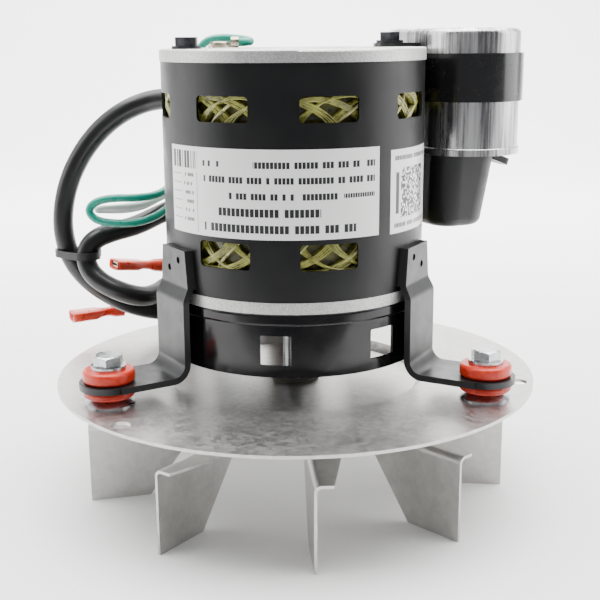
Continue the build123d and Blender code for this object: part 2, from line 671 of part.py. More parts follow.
def impeller_hub():
    hub = disc(HUB_R, WHEEL_TOP, HUB_TOP) + disc(HUB_FLANGE_R, WHEEL_TOP, WHEEL_TOP + HUB_FLANGE)
    hub += disc(PILOT_R, WHEEL_TOP - PILOT, WHEEL_TOP)
    hub -= disc(SHAFT_R, WHEEL_TOP - PILOT, HUB_TOP)
    hole = disc(RIVET_R, WHEEL_TOP, WHEEL_TOP + HUB_FLANGE)
    hub -= at_each(hole, RIVET_PITCH_R, spread(RIVETS, RIVET_FIRST))
    return hub - set_screw()


def hub_rivets():
    low = WHEEL_TOP - WHEEL_SHEET
    high = WHEEL_TOP + HUB_FLANGE
    rivet = disc(RIVET_R, low - RIVET_HEAD, high + RIVET_HEAD)
    low_head = disc(RIVET_HEAD_R, low - RIVET_HEAD, low)
    high_head = disc(RIVET_HEAD_R, high, high + RIVET_HEAD)
    high_head = chamfer(high_head.edges().group_by(Axis.Z)[-1], RIVET_HEAD / 2)
    return at_each(rivet + low_head + high_head, RIVET_PITCH_R, spread(RIVETS, RIVET_FIRST))


def set_screw():
    middle = (HUB_TOP + WHEEL_TOP + HUB_FLANGE) / 2
    start = SHAFT_R - FLAT_DEPTH
    body = Plane.YZ * extrude(Circle(SET_SCREW_R), HUB_R - start)
    return place(start, SET_SCREW_BEARING, middle) * body


def shaft_seal():
    return disc(SEAL_R, FLOOR_TOP, FLOOR_TOP + SEAL, SHAFT_R + SEAL_RUNNING_CLEAR)


def seal_collar():
    low = FLOOR_TOP + SEAL
    collar = disc(COLLAR_R, low, low + COLLAR, SHAFT_R + 6 * SEAL_RUNNING_CLEAR)
    notch = disc(COLLAR_TOOTH, low, low + COLLAR)
    return collar - at_each(notch, COLLAR_R, spread(COLLAR_TEETH))


def leg(bearing):
    """Strap leg made on the +X side and turned: tapered pad on the shell, small jog outwards,
    drop, and a foot. The spot marks climb towards the front."""
    skin_r = SHELL_R + STRAP / 2
    jog_top = SHELL_LOW + PAD_RISE
    foot_z = FOOT_LOW + STRAP / 2
    line = FilletPolyline(
        (skin_r, jog_top + PAD_HEIGHT), (skin_r, jog_top),
        (LEG_OUT_R, jog_top - JOG), (LEG_OUT_R, foot_z), (MOUNT_R, foot_z),
        radius=[JOG_BEND_R, JOG_BEND_R, LEG_BEND_R],
    )
    strip = Plane.XZ * trace(line, STRAP)
    strap = extrude(strip, LEG_WIDTH / 2, both=True)
    strap += Pos(MOUNT_R, 0, 0) * disc(FOOT_END_R, FOOT_LOW, FOOT_TOP)
    half = math.degrees(LEG_WIDTH / 2 / SHELL_R)
    pad = sector(SHELL_R, SHELL_R + STRAP, jog_top, jog_top + PAD_HEIGHT, 90 - half, 90 + half)
    shoulder = Plane.YZ * make_face(Polyline(
        (-LEG_WIDTH, 0), (LEG_WIDTH, 0), (LEG_WIDTH, jog_top - JOG), (LEG_WIDTH / 2, jog_top - JOG),
        (PAD_TOP_WIDTH / 2, jog_top + PAD_HEIGHT), (-PAD_TOP_WIDTH / 2, jog_top + PAD_HEIGHT),
        (-LEG_WIDTH / 2, jog_top - JOG), (-LEG_WIDTH, jog_top - JOG), close=True,
    ))
    whole = (strap + pad) & extrude(shoulder, MOUNT_R + LEG_WIDTH)
    whole -= Pos(MOUNT_R, 0, 0) * disc(GROMMET_GROOVE_R, FOOT_LOW, FOOT_TOP)
    dimple = Plane.YZ * extrude(Circle(DIMPLE_R), 2 * DIMPLE_DEPTH)
    lean = math.copysign(DIMPLE_STAGGER / 2, -bearing)
    for side in (-1, 1):
        rise = jog_top + DIMPLE_RISE + side * lean
        whole -= Pos(SHELL_R + STRAP - DIMPLE_DEPTH, side * DIMPLE_SPREAD / 2, rise) * dimple
    return Rot(0, 0, bearing - 90) * whole


def grommets():
    points = [
        (SLEEVE_R, GROMMET_LOW), (GROMMET_R, GROMMET_LOW), (GROMMET_R, FOOT_LOW),
        (GROMMET_GROOVE_R, FOOT_LOW), (GROMMET_GROOVE_R, FOOT_TOP), (GROMMET_R, FOOT_TOP),
        (GROMMET_R, GROMMET_TOP), (SLEEVE_R, GROMMET_TOP),
    ]
    face = make_face(Plane.XZ * Polyline(*points, close=True))
    rubber = revolve(face, Axis.Z)
    rims = rubber.edges().filter_by(GeomType.CIRCLE).group_by(SortBy.RADIUS)[-1]
    rubber = fillet(rims, GROMMET_ROUND)
    return at_each(rubber, MOUNT_R, LEG_BEARINGS.values())


def grommet_sleeves():
    tube = disc(SLEEVE_R, GROMMET_LOW, GROMMET_TOP, SLEEVE_R - SLEEVE_WALL)
    return at_each(tube, MOUNT_R, LEG_BEARINGS.values())


def cone_washers():
    face = make_face(Plane.XZ * Polyline(
        (MOUNT_SCREW_R, PLATE_TOP), (CONE_R, PLATE_TOP), (CONE_R, PLATE_TOP + CONE_EDGE),
        (CONE_TOP_R, GROMMET_LOW), (MOUNT_SCREW_R, GROMMET_LOW), close=True,
    ))
    return at_each(revolve(face, Axis.Z), MOUNT_R, LEG_BEARINGS.values())


def mounting_screws():
    seat = GROMMET_TOP + MOUNT_FLANGE
    top = GROMMET_TOP + MOUNT_HEAD
    screw = disc(MOUNT_SCREW_R, -PLATE_NUT, GROMMET_TOP)
    screw += disc(MOUNT_FLANGE_R, GROMMET_TOP, seat)
    head = hexagon(MOUNT_HEAD_R, seat, top)
    crown = revolve(make_face(Plane.XZ * Polyline(
        (0, seat), (MOUNT_HEAD_R + 1, seat), (MOUNT_HEAD_R + 1, top - MOUNT_HEAD_CROWN),
        (MOUNT_HEAD_R - 1, top), (0, top), close=True,
    )), Axis.Z)
    return at_each(screw + (head & crown), MOUNT_R, LEG_BEARINGS.values())


def plate_nuts():
    nut = hexagon(PLATE_NUT_R, -PLATE_NUT, 0) - disc(MOUNT_SCREW_R, -PLATE_NUT, 0)
    return at_each(nut, MOUNT_R, LEG_BEARINGS.values())


def through_bolts():
    """Hex washer-head bolts; the one at the capacitor sits on the strap's ear."""
    tail = FRONT_LOW - SHEET - BOLT_NUT - BOLT_TAIL
    bolts = []
    for bearing in BOLT_BEARINGS:
        seat = REAR_TOP + (STRAP_BAND if bearing == CAN_BEARING else 0)
        bolt = disc(BOLT_R, tail, seat) + disc(BOLT_FLANGE_R, seat, seat + BOLT_FLANGE)
        bolt += hexagon(BOLT_HEAD_R, seat + BOLT_FLANGE, seat + BOLT_HEAD)
        bolt -= disc(BOLT_DISH_R, seat + BOLT_HEAD - BOLT_DISH, seat + BOLT_HEAD)
        bolts.append(place(BOLT_PITCH_R, bearing) * bolt)
    return bolts


def through_bolt_nuts():
    low = FRONT_LOW - SHEET - BOLT_NUT
    nut = hexagon(BOLT_NUT_R, low, low + BOLT_NUT) - disc(BOLT_R, low, low + BOLT_NUT)
    return at_each(nut, BOLT_PITCH_R, BOLT_BEARINGS)


def can_place(z=0.0):
    return place(CAN_CENTRE_R, CAN_BEARING, z)


def capacitor_can():
    body = stadium(CAN_LONG, CAN_WIDE, CAN_LOW, CAN_LOW + CAN_HEIGHT)
    body = fillet(body.edges().group_by(Axis.Z)[-1], CAN_ROUND)
    rim = stadium(
        CAN_LONG + 2 * CAN_RIM_PROUD, CAN_WIDE + 2 * CAN_RIM_PROUD, CAN_LOW, CAN_LOW + CAN_RIM
    )
    rim = fillet(rim.edges().group_by(Axis.Z)[-1], CAN_RIM_PROUD)
    return can_place() * (body + rim) - capacitor_lid()


def capacitor_lid():
    long = CAN_LONG - 2 * CAN_WALL
    wide = CAN_WIDE - 2 * CAN_WALL
    return can_place() * stadium(long, wide, CAN_LOW, CAN_LOW + CAN_RIM / 2)


def capacitor_terminals():
    wide, thick, tall = TERMINAL_BLADE
    blade_one = Pos(0, 0, CAN_LOW - tall) * Box(
        thick, wide, tall, align=(Align.CENTER, Align.CENTER, Align.MIN)
    )
    middle = (BOOT_OUT_FOOT + CAN_INNER + 2 * BOOT_INSET) / 2
    return [can_place() * Pos(middle, s * TERMINAL_SPREAD / 2, 0) * blade_one for s in (-1, 1)]


def boot_block(inset, low_z):
    inner = CAN_INNER + BOOT_INSET + inset
    top = (CAN_LOW, BOOT_OUT_TOP, BOOT_HALF_TOP)
    foot = (low_z, BOOT_OUT_FOOT, BOOT_HALF_FOOT)
    sections = []
    for z, out, half in (top, foot):
        outer = out - inset
        face = RectangleRounded(outer - inner, 2 * (half - inset), BOOT_CORNER - inset)
        sections.append(Pos((outer + inner) / 2, 0, z) * face)
    return loft(sections)


def capacitor_boot():
    low = CAN_LOW - BOOT_HEIGHT
    outer = boot_block(0, low)
    outer = fillet(outer.edges().group_by(Axis.Z)[0], BOOT_FOOT_ROUND)
    boot = outer - boot_block(BOOT_WALL, low + BOOT_WALL)
    long, wide, thick = BOOT_EAR
    hinge = Pos(BOOT_OUT_TOP - BOOT_EAR_LAP, -BOOT_EAR_SIDE, CAN_LOW - thick)
    ear = Box(
        long, wide, thick, align=(Align.MIN, Align.CENTER, Align.MIN)
    )
    ear = fillet(ear.edges().filter_by(Axis.Z), BOOT_EAR_ROUND)
    ear = hinge * Rot(0, BOOT_EAR_DROOP, 0) * ear
    ear -= boot_block(BOOT_WALL, low + BOOT_WALL)
    return can_place() * (boot + ear)


def capacitor_strap():
    low = SHELL_LOW + STRAP_LOW
    high = low + STRAP_HEIGHT
    band = stadium(CAN_LONG + 2 * STRAP_BAND, CAN_WIDE + 2 * STRAP_BAND, low, high)
    band -= stadium(CAN_LONG, CAN_WIDE, low, high)
    ear_top = REAR_TOP + STRAP_BAND
    tongue = Pos(CAN_INNER - STRAP_BAND, 0, high - TONGUE_LAP) * Box(
        STRAP_BAND, EAR_WIDTH, ear_top - high + TONGUE_LAP,
        align=(Align.MIN, Align.CENTER, Align.MIN),
    )
    bolt_x = BOLT_PITCH_R - CAN_CENTRE_R
    ear = Pos(bolt_x, 0, REAR_TOP) * extrude(
        Rectangle(CAN_INNER - bolt_x, EAR_WIDTH, align=(Align.MIN, Align.CENTER)), STRAP_BAND
    )
    ear += Pos(bolt_x, 0, 0) * disc(EAR_WIDTH / 2, REAR_TOP, ear_top)
    bolt_hole = Pos(bolt_x, 0, 0) * disc(BOLT_R, REAR_TOP, ear_top)
    return can_place() * (band + tongue + ear - bolt_hole)


def label(spec):
    start, stop, rise, height = spec
    low = SHELL_LOW + rise
    return sector(SHELL_R, SHELL_R + LABEL, low, low + height, start, stop)


def lead_bushing():
    """Plastic bushing clipped in one upper window; the cable's sleeve starts at its face."""
    width = WINDOW_WIDTH - 2 * BUSHING_PLAY
    height = UPPER_WINDOW_HEIGHT - 2 * BUSHING_PLAY
    depth = BUSHING_PROUD + 2 * SHELL_WALL
    plug = extrude(Rectangle(width, height), depth)
    plug = fillet(plug.edges().filter_by(Axis.Z), WINDOW_CORNER)
    return facing_out(SHELL_R - 2 * SHELL_WALL, BUSHING_BEARING, BUSHING_Z) * plug


def corner_radii(points):
    corners = [Vector(*p) for p in points]
    radii = []
    for before, here, after in zip(corners, corners[1:], corners[2:]):
        into = here - before
        out = after - here
        shorter = min(into.length, out.length)
        turn = math.radians(into.get_angle(out))
        radii.append(0.45 * shorter / math.tan(turn / 2))
    return radii


def cord_tube(name, route, diameter):
    points = with_bushing(route)
    radii = corner_radii(points)
    path = FilletPolyline(*points, radius=radii)
    start = Plane(origin=path @ 0, z_dir=path % 0)
    tube = sweep(start * Circle(diameter / 2), path=path)
    share = tube.volume / (math.pi * diameter**2 / 4 * path.length)
    print(name, "length", round(path.length, 1), "volume share", round(share, 4))
    print(name, "radii", [round(r, 1) for r in radii])
    return tube


def at_route_end(route):
    """A frame at a route's last point: local X runs on along the cable, local Z is upwards."""
    before, end = [Vector(*p) for p in with_bushing(route)[-2:]]
    onward = end - before
    return Plane(origin=end, x_dir=onward, z_dir=onward.cross(Vector(0, 0, 1).cross(onward)))


def quick_disconnect(route):
    """Insulated push-on terminal, crimped on a lead's end."""
    frame = at_route_end(route)
    middle = (Align.MIN, Align.CENTER, Align.CENTER)
    barrel = Plane.YZ * extrude(Circle(TERMINAL_BARREL_R), TERMINAL_BARREL)
    long, wide, tall = TERMINAL_HOOD
    hood = Pos(TERMINAL_BARREL, 0, 0) * Box(long, wide, tall, align=middle)
    hood = fillet(hood.edges().filter_by(Axis.X), TERMINAL_HOOD_ROUND)
    floor = TERMINAL_BARREL + TERMINAL_FLOOR
    inside = wide - 2 * RECEPTACLE_SIDE
    hood -= Pos(floor, 0, 0) * Box(long, inside, RECEPTACLE_TALL, align=middle)
    receptacle = Pos(floor, 0, 0) * Box(
        long - RECEPTACLE_SHORT, inside, RECEPTACLE_TALL, align=middle
    )
    receptacle -= Pos(floor + RECEPTACLE_BACK, 0, 0) * Box(
        long, inside - 2 * RECEPTACLE_WALL, RECEPTACLE_SLIT, align=middle
    )
    return frame * (barrel + hood), frame * receptacle


def ring_terminal():
    x = GROUND_SCREW_X
    y = GROUND_SCREW_Y
    ring = Pos(x, y, 0) * disc(RING_TERMINAL_R, REAR_TOP, REAR_TOP + RING_TERMINAL, GROUND_SCREW_R)
    start_x, start_y, start_z = with_bushing(GROUND_ROUTE)[0]
    barrel_r = start_z - REAR_TOP
    crimp = Plane(origin=(start_x, start_y, start_z), z_dir=(-1, 0, 0)) * extrude(
        Circle(barrel_r), RING_CRIMP
    )
    neck = Pos(x, y, REAR_TOP) * Box(
        start_x - RING_CRIMP / 2 - x, 1.6 * barrel_r, barrel_r,
        align=(Align.MIN, Align.CENTER, Align.MIN),
    )
    neck -= Pos(x, y, 0) * disc(GROUND_SCREW_HEAD_R + RING_NECK_GAP, REAR_TOP, start_z)
    return ring + neck + crimp


def ground_screw():
    seat = REAR_TOP + RING_TERMINAL
    screw = disc(GROUND_SCREW_R, REAR_TOP - WEB, seat)
    head = disc(GROUND_SCREW_HEAD_R, seat, seat + GROUND_SCREW_HEAD)
    head = fillet(head.edges().group_by(Axis.Z)[-1], GROUND_SCREW_ROUND)
    slot = Pos(0, 0, seat + GROUND_SCREW_HEAD / 2) * Box(
        2 * GROUND_SCREW_HEAD_R, GROUND_SCREW_SLOT, GROUND_SCREW_HEAD,
        align=(Align.CENTER, Align.CENTER, Align.MIN),
    )
    slotted = screw + head - Rot(0, 0, GROUND_SCREW_TURN) * slot
    return Pos(GROUND_SCREW_X, GROUND_SCREW_Y, 0) * slotted


def cable_tie():
    """Tie round both runs of the sleeve, with its ratchet head at the back."""
    one, other = [(x, y, TIE_Z - TIE_WIDTH / 2) for x, y in TIE_AT]
    (ax, ay, low), (bx, by, low) = with_bushing([one, other])
    gap = math.hypot(bx - ax, by - ay)
    inner = SLEEVE_DIAMETER / 2 + TIE_PLAY
    angle = math.degrees(math.atan2(by - ay, bx - ax))
    band = extrude(SlotCenterToCenter(gap, 2 * (inner + TIE_BAND)), TIE_WIDTH)
    band -= extrude(SlotCenterToCenter(gap, 2 * inner), TIE_WIDTH)
    head = Pos(0, inner + TIE_BAND, TIE_WIDTH / 2) * Box(
        *TIE_HEAD, align=(Align.CENTER, Align.MIN, Align.CENTER)
    )
    return Location(((ax + bx) / 2, (ay + by) / 2, low), (0, 0, angle)) * (band + head)


def all_parts():
    white_hood, white_receptacle = quick_disconnect(WHITE_ROUTE)
    red_hood, red_receptacle = quick_disconnect(RED_ROUTE)
    green_hood, green_receptacle = quick_disconnect(GREEN_ROUTE)
    front = STACK_LOW - END_RING
    rear = STACK_TOP + END_RING
    parts = {
        "mounting_plate": mounting_plate(),
        "motor_shell": motor_shell(),
        "rear_end_shield": rear_end_shield(),
        "front_end_shield": front_end_shield(),
        "motor_skirt": motor_skirt(),
        "stator_core": stator_core(),
        "coil_sides": coil_sides(),
        "slot_wedges": slot_wedges(),
        "rear_winding": winding_overhang(STACK_TOP),
        "front_winding": winding_overhang(STACK_LOW - OVERHANG_HEIGHT),
        "thermal_protector": thermal_protector(),
        "rotor_core": rotor_core(),
        "front_end_ring": rotor_end_ring(front, STACK_LOW, front - END_RING, front),
        "rear_end_ring": rotor_end_ring(STACK_TOP, rear, rear, rear + END_RING),
        "shaft": shaft(),
        "wave_washer": wave_washer(),
        "shaft_seal": shaft_seal(),
        "seal_collar": seal_collar(),
        "impeller_wheel": impeller_wheel(),
        "impeller_hub": impeller_hub(),
        "hub_rivets": hub_rivets(),
        "set_screw": set_screw(),
        "grommets": grommets(),
        "grommet_sleeves": grommet_sleeves(),
        "cone_washers": cone_washers(),
        "mounting_screws": mounting_screws(),
        "plate_nuts": plate_nuts(),
        "through_bolts": through_bolts(),
        "through_bolt_nuts": through_bolt_nuts(),
        "capacitor_can": capacitor_can(),
        "capacitor_lid": capacitor_lid(),
        "capacitor_terminals": capacitor_terminals(),
        "capacitor_boot": capacitor_boot(),
        "capacitor_strap": capacitor_strap(),
        "rating_label": label(RATING_LABEL),
        "code_label": label(CODE_LABEL),
        "lead_bushing": lead_bushing(),
        "lead_sleeve": cord_tube("lead_sleeve", SLEEVE_ROUTE, SLEEVE_DIAMETER),
        "white_lead": cord_tube("white_lead", WHITE_ROUTE, LEAD_DIAMETER),
        "red_lead": cord_tube("red_lead", RED_ROUTE, LEAD_DIAMETER),
        "green_lead": cord_tube("green_lead", GREEN_ROUTE, LEAD_DIAMETER),
        "ground_lead": cord_tube("ground_lead", GROUND_ROUTE, LEAD_DIAMETER),
        "white_lead_terminal": white_hood,
        "red_lead_terminal": red_hood,
        "green_lead_terminal": green_hood,
        "terminal_receptacles": [white_receptacle, red_receptacle, green_receptacle],
        "ground_ring": ring_terminal(),
        "ground_screw": ground_screw(),
        "cable_tie": cable_tie(),
    }
    for name, bearing in LEG_BEARINGS.items():
        parts[name] = leg(bearing)
    bearings = {"front_bearing": FRONT_BEARING_LOW, "rear_bearing": REAR_BEARING_LOW}
    for name, low in bearings.items():
        parts[name + "_inner_ring"] = bearing_inner_ring(low)
        parts[name + "_outer_ring"] = bearing_outer_ring(low)
        parts[name + "_balls"] = bearing_balls(low)
        parts[name + "_cage"] = bearing_cage(low)
    return parts


def write(parts):
    os.makedirs("parts", exist_ok=True)
    for name, shape in parts.items():
        solids = shape if isinstance(shape, list) else [shape]
        flat = [solid for piece in solids for solid in piece.solids()]
        whole = flat[0] if len(flat) == 1 else Compound(children=flat)
        export_step(whole, f"parts/{name}.step")


write(all_parts())
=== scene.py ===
import math
import random

import bpy
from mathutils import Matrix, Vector


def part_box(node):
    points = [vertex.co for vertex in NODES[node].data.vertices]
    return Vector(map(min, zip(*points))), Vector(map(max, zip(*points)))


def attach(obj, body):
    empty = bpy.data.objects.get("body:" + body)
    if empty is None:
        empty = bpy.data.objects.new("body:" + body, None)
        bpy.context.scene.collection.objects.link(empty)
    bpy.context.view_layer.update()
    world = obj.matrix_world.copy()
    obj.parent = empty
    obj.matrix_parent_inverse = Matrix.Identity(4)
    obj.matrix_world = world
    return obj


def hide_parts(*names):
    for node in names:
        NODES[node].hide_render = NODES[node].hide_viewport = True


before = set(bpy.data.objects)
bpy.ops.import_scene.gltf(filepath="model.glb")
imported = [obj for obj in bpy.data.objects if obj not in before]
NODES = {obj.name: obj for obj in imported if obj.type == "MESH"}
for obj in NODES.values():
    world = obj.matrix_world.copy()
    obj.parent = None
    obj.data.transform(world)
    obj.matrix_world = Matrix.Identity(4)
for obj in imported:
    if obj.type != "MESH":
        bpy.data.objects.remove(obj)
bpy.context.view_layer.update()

# A furnace draught fan: its looks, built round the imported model. Metres, +Z up the shaft,
# origin at the centre of the mounting plate's lower face. Bearings are in degrees from -Y.

MM = 0.001
PER_METRE = 1000.0
BLADE_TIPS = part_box("impeller_wheel")[0].z
SHELL_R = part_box("motor_shell")[1].x


# ---------------------------------------------------------------- camera

CAMERA_PLACE = (0.0, -0.3508, 0.1108)
LOOKS_DOWN = 13.75
LEANS = -0.45
LENS_MM = 64.17
SENSOR_MM = 36.0
FRAME_SHIFT = 0.009
NEAREST = 0.01


def camera():
    """A short telephoto level with the top of the motor, looking a little down."""
    data = bpy.data.cameras.new("camera")
    data.sensor_width = SENSOR_MM
    data.lens = LENS_MM
    data.shift_x = FRAME_SHIFT
    data.clip_start = NEAREST
    view = bpy.data.objects.new("camera", data)
    bpy.context.scene.collection.objects.link(view)
    view.location = CAMERA_PLACE
    view.rotation_euler = (math.radians(90 - LOOKS_DOWN), 0.0, 0.0)
    view.rotation_euler.rotate_axis("Z", math.radians(LEANS))
    bpy.context.scene.camera = view


# ---------------------------------------------------------------- colour and node helpers

def linear(code):
    """An sRGB hex colour as linear RGBA."""
    channels = [int(code[k:k + 2], 16) / 255 for k in (1, 3, 5)]
    flat = [c / 12.92 if c <= 0.04045 else ((c + 0.055) / 1.055) ** 2.4 for c in channels]
    return (*flat, 1.0)


def add(tree, kind, inputs=None, **settings):
    """Adds a node, sets its fields and fills its inputs with values or links."""
    new = tree.nodes.new(kind)
    for field, value in settings.items():
        setattr(new, field, value)
    for key, value in (inputs or {}).items():
        if isinstance(value, bpy.types.NodeSocket):
            tree.links.new(value, new.inputs[key])
        else:
            new.inputs[key].default_value = value
    return new


def finish_of(name, **sockets):
    """A new material with its shader's plain sockets set; returns material, tree, shader."""
    material = bpy.data.materials.new(name)
    material.use_nodes = True
    tree = material.node_tree
    shader = tree.nodes["Principled BSDF"]
    for key, value in sockets.items():
        shader.inputs[key.replace("_", " ")].default_value = value
    return material, tree, shader


def here(tree):
    """The surface point in metres in the piece's own frame."""
    return add(tree, "ShaderNodeTexCoord").outputs["Object"]


def stretched(tree, scale):
    """The surface point with each axis scaled, which draws a pattern out along the small one."""
    return add(tree, "ShaderNodeMapping", {"Vector": here(tree), "Scale": scale}).outputs[0]


def noise(tree, vector, size_mm, detail=2.0, roughness=0.5):
    """Noise whose lumps are about size_mm across."""
    made = add(tree, "ShaderNodeTexNoise", {
        "Vector": vector, "Scale": PER_METRE / size_mm, "Detail": detail, "Roughness": roughness,
    })
    return made.outputs["Fac"]


def spread_to(tree, value, low, high, start=0.3, stop=0.7):
    """Maps the middle of a pattern's range onto low to high."""
    return add(tree, "ShaderNodeMapRange", {
        "Value": value, "From Min": start, "From Max": stop, "To Min": low, "To Max": high,
    }).outputs[0]


def two_tones(tree, value, dark, light):
    """A colour between two hex colours, by a pattern that runs from 0 to 1."""
    return add(tree, "ShaderNodeMix", {0: value, 6: linear(dark), 7: linear(light)},
               data_type="RGBA").outputs[2]


def relief(tree, shader, height, depth_mm, strength):
    """Shades a pattern as bumps depth_mm deep."""
    bump = add(tree, "ShaderNodeBump", {
        "Height": height, "Distance": depth_mm * MM, "Strength": strength,
    })
    tree.links.new(bump.outputs[0], shader.inputs["Normal"])


# ---------------------------------------------------------------- materials

def galvanised_sheet():
    """Galvanised steel sheet, rolled and stamped: a fine zinc spangle about a millimetre
    across, each crystal a slightly different grey and gloss, with faint handling smudges."""
    material, tree, shader = finish_of("galvanised_sheet", Metallic=1.0)
    bent = add(tree, "ShaderNodeMixRGB", {
        "Fac": 0.003, "Color1": here(tree),
        "Color2": add(tree, "ShaderNodeTexNoise", {
            "Vector": here(tree), "Scale": PER_METRE / 3.0}).outputs["Color"],
    }, blend_type="ADD").outputs[0]
    spangle = add(tree, "ShaderNodeTexVoronoi", {"Vector": bent, "Scale": PER_METRE / 1.5})
    grey = add(tree, "ShaderNodeSeparateColor", {"Color": spangle.outputs["Color"]}).outputs[0]
    smudge = noise(tree, here(tree), 22.0, 4.0)
    both = add(tree, "ShaderNodeMath", {0: grey, 1: smudge}, operation="ADD").outputs[0]
    tone = spread_to(tree, both, 0.0, 1.0, 0.3, 1.6)
    tree.links.new(two_tones(tree, tone, "#b3b1ae", "#cbc9c6"), shader.inputs["Base Color"])
    tree.links.new(spread_to(tree, both, 0.3, 0.4, 0.3, 1.5), shader.inputs["Roughness"])
    relief(tree, shader, noise(tree, here(tree), 1.6, 3.0), 0.01, 0.5)
    return material


def aluminised_sheet():
    """Aluminised steel, rolled, blanked and folded: soft grey with a faint mottle from the
    coating bath and barely seen rolling lines."""
    material, tree, shader = finish_of("aluminised_sheet", Metallic=1.0)
    lines = noise(tree, stretched(tree, (0.5, 0.5, 3.0)), 3.0, 3.0)
    mottle = noise(tree, here(tree), 3.5, 5.0, 0.65)
    tree.links.new(two_tones(tree, spread_to(tree, mottle, 0, 1), "#b2b1ae", "#c6c5c2"),
                   shader.inputs["Base Color"])
    tree.links.new(spread_to(tree, mottle, 0.36, 0.48), shader.inputs["Roughness"])
    relief(tree, shader, lines, 0.01, 0.25)
    return material


def black_enamel(name, gloss):
    """Stoved black enamel on rolled steel: deep black and glossy, with slight orange peel."""
    material, tree, shader = finish_of(name, Base_Color=linear("#08080a"), IOR=1.46)
    cloud = noise(tree, here(tree), 9.0, 3.0)
    tree.links.new(spread_to(tree, cloud, gloss - 0.05, gloss + 0.06), shader.inputs["Roughness"])
    relief(tree, shader, noise(tree, here(tree), 1.3), 0.006, 0.4)
    return material


def powder_coat():
    """Powder-coated strap steel: black, satin, with a fine even grain."""
    material, tree, shader = finish_of("powder_coat", Base_Color=linear("#161618"), IOR=1.5)
    cloud = noise(tree, here(tree), 5.0, 3.0)
    tree.links.new(spread_to(tree, cloud, 0.3, 0.42), shader.inputs["Roughness"])
    relief(tree, shader, noise(tree, here(tree), 0.7), 0.01, 0.4)
    return material


def cast_aluminium():
    """Die-cast aluminium, tumbled: pale, almost white grey, with a fine sandy grain."""
    material, tree, shader = finish_of("cast_aluminium", Metallic=0.85)
    grain = noise(tree, here(tree), 0.5, 3.0, 0.6)
    cloud = noise(tree, here(tree), 8.0, 3.0)
    tone = spread_to(tree, grain, 0.0, 1.0, 0.35, 0.65)
    tree.links.new(two_tones(tree, tone, "#b9b9b7", "#dededc"), shader.inputs["Base Color"])
    tree.links.new(spread_to(tree, cloud, 0.42, 0.56), shader.inputs["Roughness"])
    relief(tree, shader, grain, 0.02, 0.5)
    return material


def zinc_plate(name="zinc_plate", dark="#9b9da1", light="#c4c6c9", gloss=0.3):
    """Bright zinc plating on turned or cold-headed steel: cool grey with cloudy gloss."""
    material, tree, shader = finish_of(name, Metallic=1.0)
    cloud = noise(tree, here(tree), 2.5, 3.0)
    tree.links.new(two_tones(tree, spread_to(tree, cloud, 0, 1), dark, light),
                   shader.inputs["Base Color"])
    tree.links.new(spread_to(tree, cloud, gloss - 0.06, gloss + 0.1), shader.inputs["Roughness"])
    relief(tree, shader, noise(tree, here(tree), 0.5), 0.008, 0.35)
    return material


def ground_steel():
    """Centreless-ground steel: bright, with fine rings of grinding round the axis."""
    material, tree, shader = finish_of("ground_steel", Metallic=1.0)
    rings = noise(tree, stretched(tree, (0.1, 0.1, 8.0)), 2.0)
    tree.links.new(two_tones(tree, spread_to(tree, rings, 0, 1), "#8f9094", "#c2c3c6"),
                   shader.inputs["Base Color"])
    tree.links.new(spread_to(tree, rings, 0.14, 0.26), shader.inputs["Roughness"])
    return material


LAMINATION_MM = 0.5


def lamination_stack():
    """Punched electrical-steel sheets stacked half a millimetre apart: dark edge lines."""
    material, tree, shader = finish_of("lamination_stack", Metallic=0.9)
    height = add(tree, "ShaderNodeSeparateXYZ", {"Vector": here(tree)}).outputs["Z"]
    turns = add(tree, "ShaderNodeMath", {0: height, 1: math.tau * PER_METRE / LAMINATION_MM},
                operation="MULTIPLY").outputs[0]
    line = add(tree, "ShaderNodeMath", {0: turns}, operation="SINE").outputs[0]
    tone = spread_to(tree, line, 0.0, 1.0, -0.9, 0.2)
    tree.links.new(two_tones(tree, tone, "#2e2e31", "#6b6c70"), shader.inputs["Base Color"])
    tree.links.new(spread_to(tree, line, 0.6, 0.4, -1, 1), shader.inputs["Roughness"])
    relief(tree, shader, line, 0.05, 0.6)
    return material


def drawn_aluminium_can():
    """Impact-extruded aluminium can: bright, with fine draw lines straight up its side."""
    material, tree, shader = finish_of("drawn_aluminium_can", Metallic=1.0)
    lines = noise(tree, stretched(tree, (1.0, 1.0, 0.03)), 0.8, 4.0, 0.6)
    broad = noise(tree, stretched(tree, (1.0, 1.0, 0.05)), 5.0, 2.0)
    both = add(tree, "ShaderNodeMath", {0: lines, 1: broad}, operation="ADD").outputs[0]
    tone = spread_to(tree, both, 0.0, 1.0, 0.78, 1.16)
    tree.links.new(two_tones(tree, tone, "#8f8c8f", "#efeeee"), shader.inputs["Base Color"])
    tree.links.new(spread_to(tree, both, 0.2, 0.38, 0.7, 1.3), shader.inputs["Roughness"])
    relief(tree, shader, lines, 0.018, 0.6)
    return material


def silicone_rubber():
    """Moulded silicone rubber, orange-red: soft satin skin that lets a little light in."""
    material, tree, shader = finish_of(
        "silicone_rubber", IOR=1.43, Subsurface_Weight=0.25, Subsurface_Scale=0.002,
        Subsurface_Radius=(1.0, 0.25, 0.1), Coat_Weight=0.15, Coat_Roughness=0.25)
    cloud = noise(tree, here(tree), 2.0, 3.0)
    tree.links.new(two_tones(tree, spread_to(tree, cloud, 0, 1), "#b51d0a", "#cf3515"),
                   shader.inputs["Base Color"])
    tree.links.new(spread_to(tree, cloud, 0.3, 0.42), shader.inputs["Roughness"])
    relief(tree, shader, noise(tree, here(tree), 0.6), 0.015, 0.3)
    return material


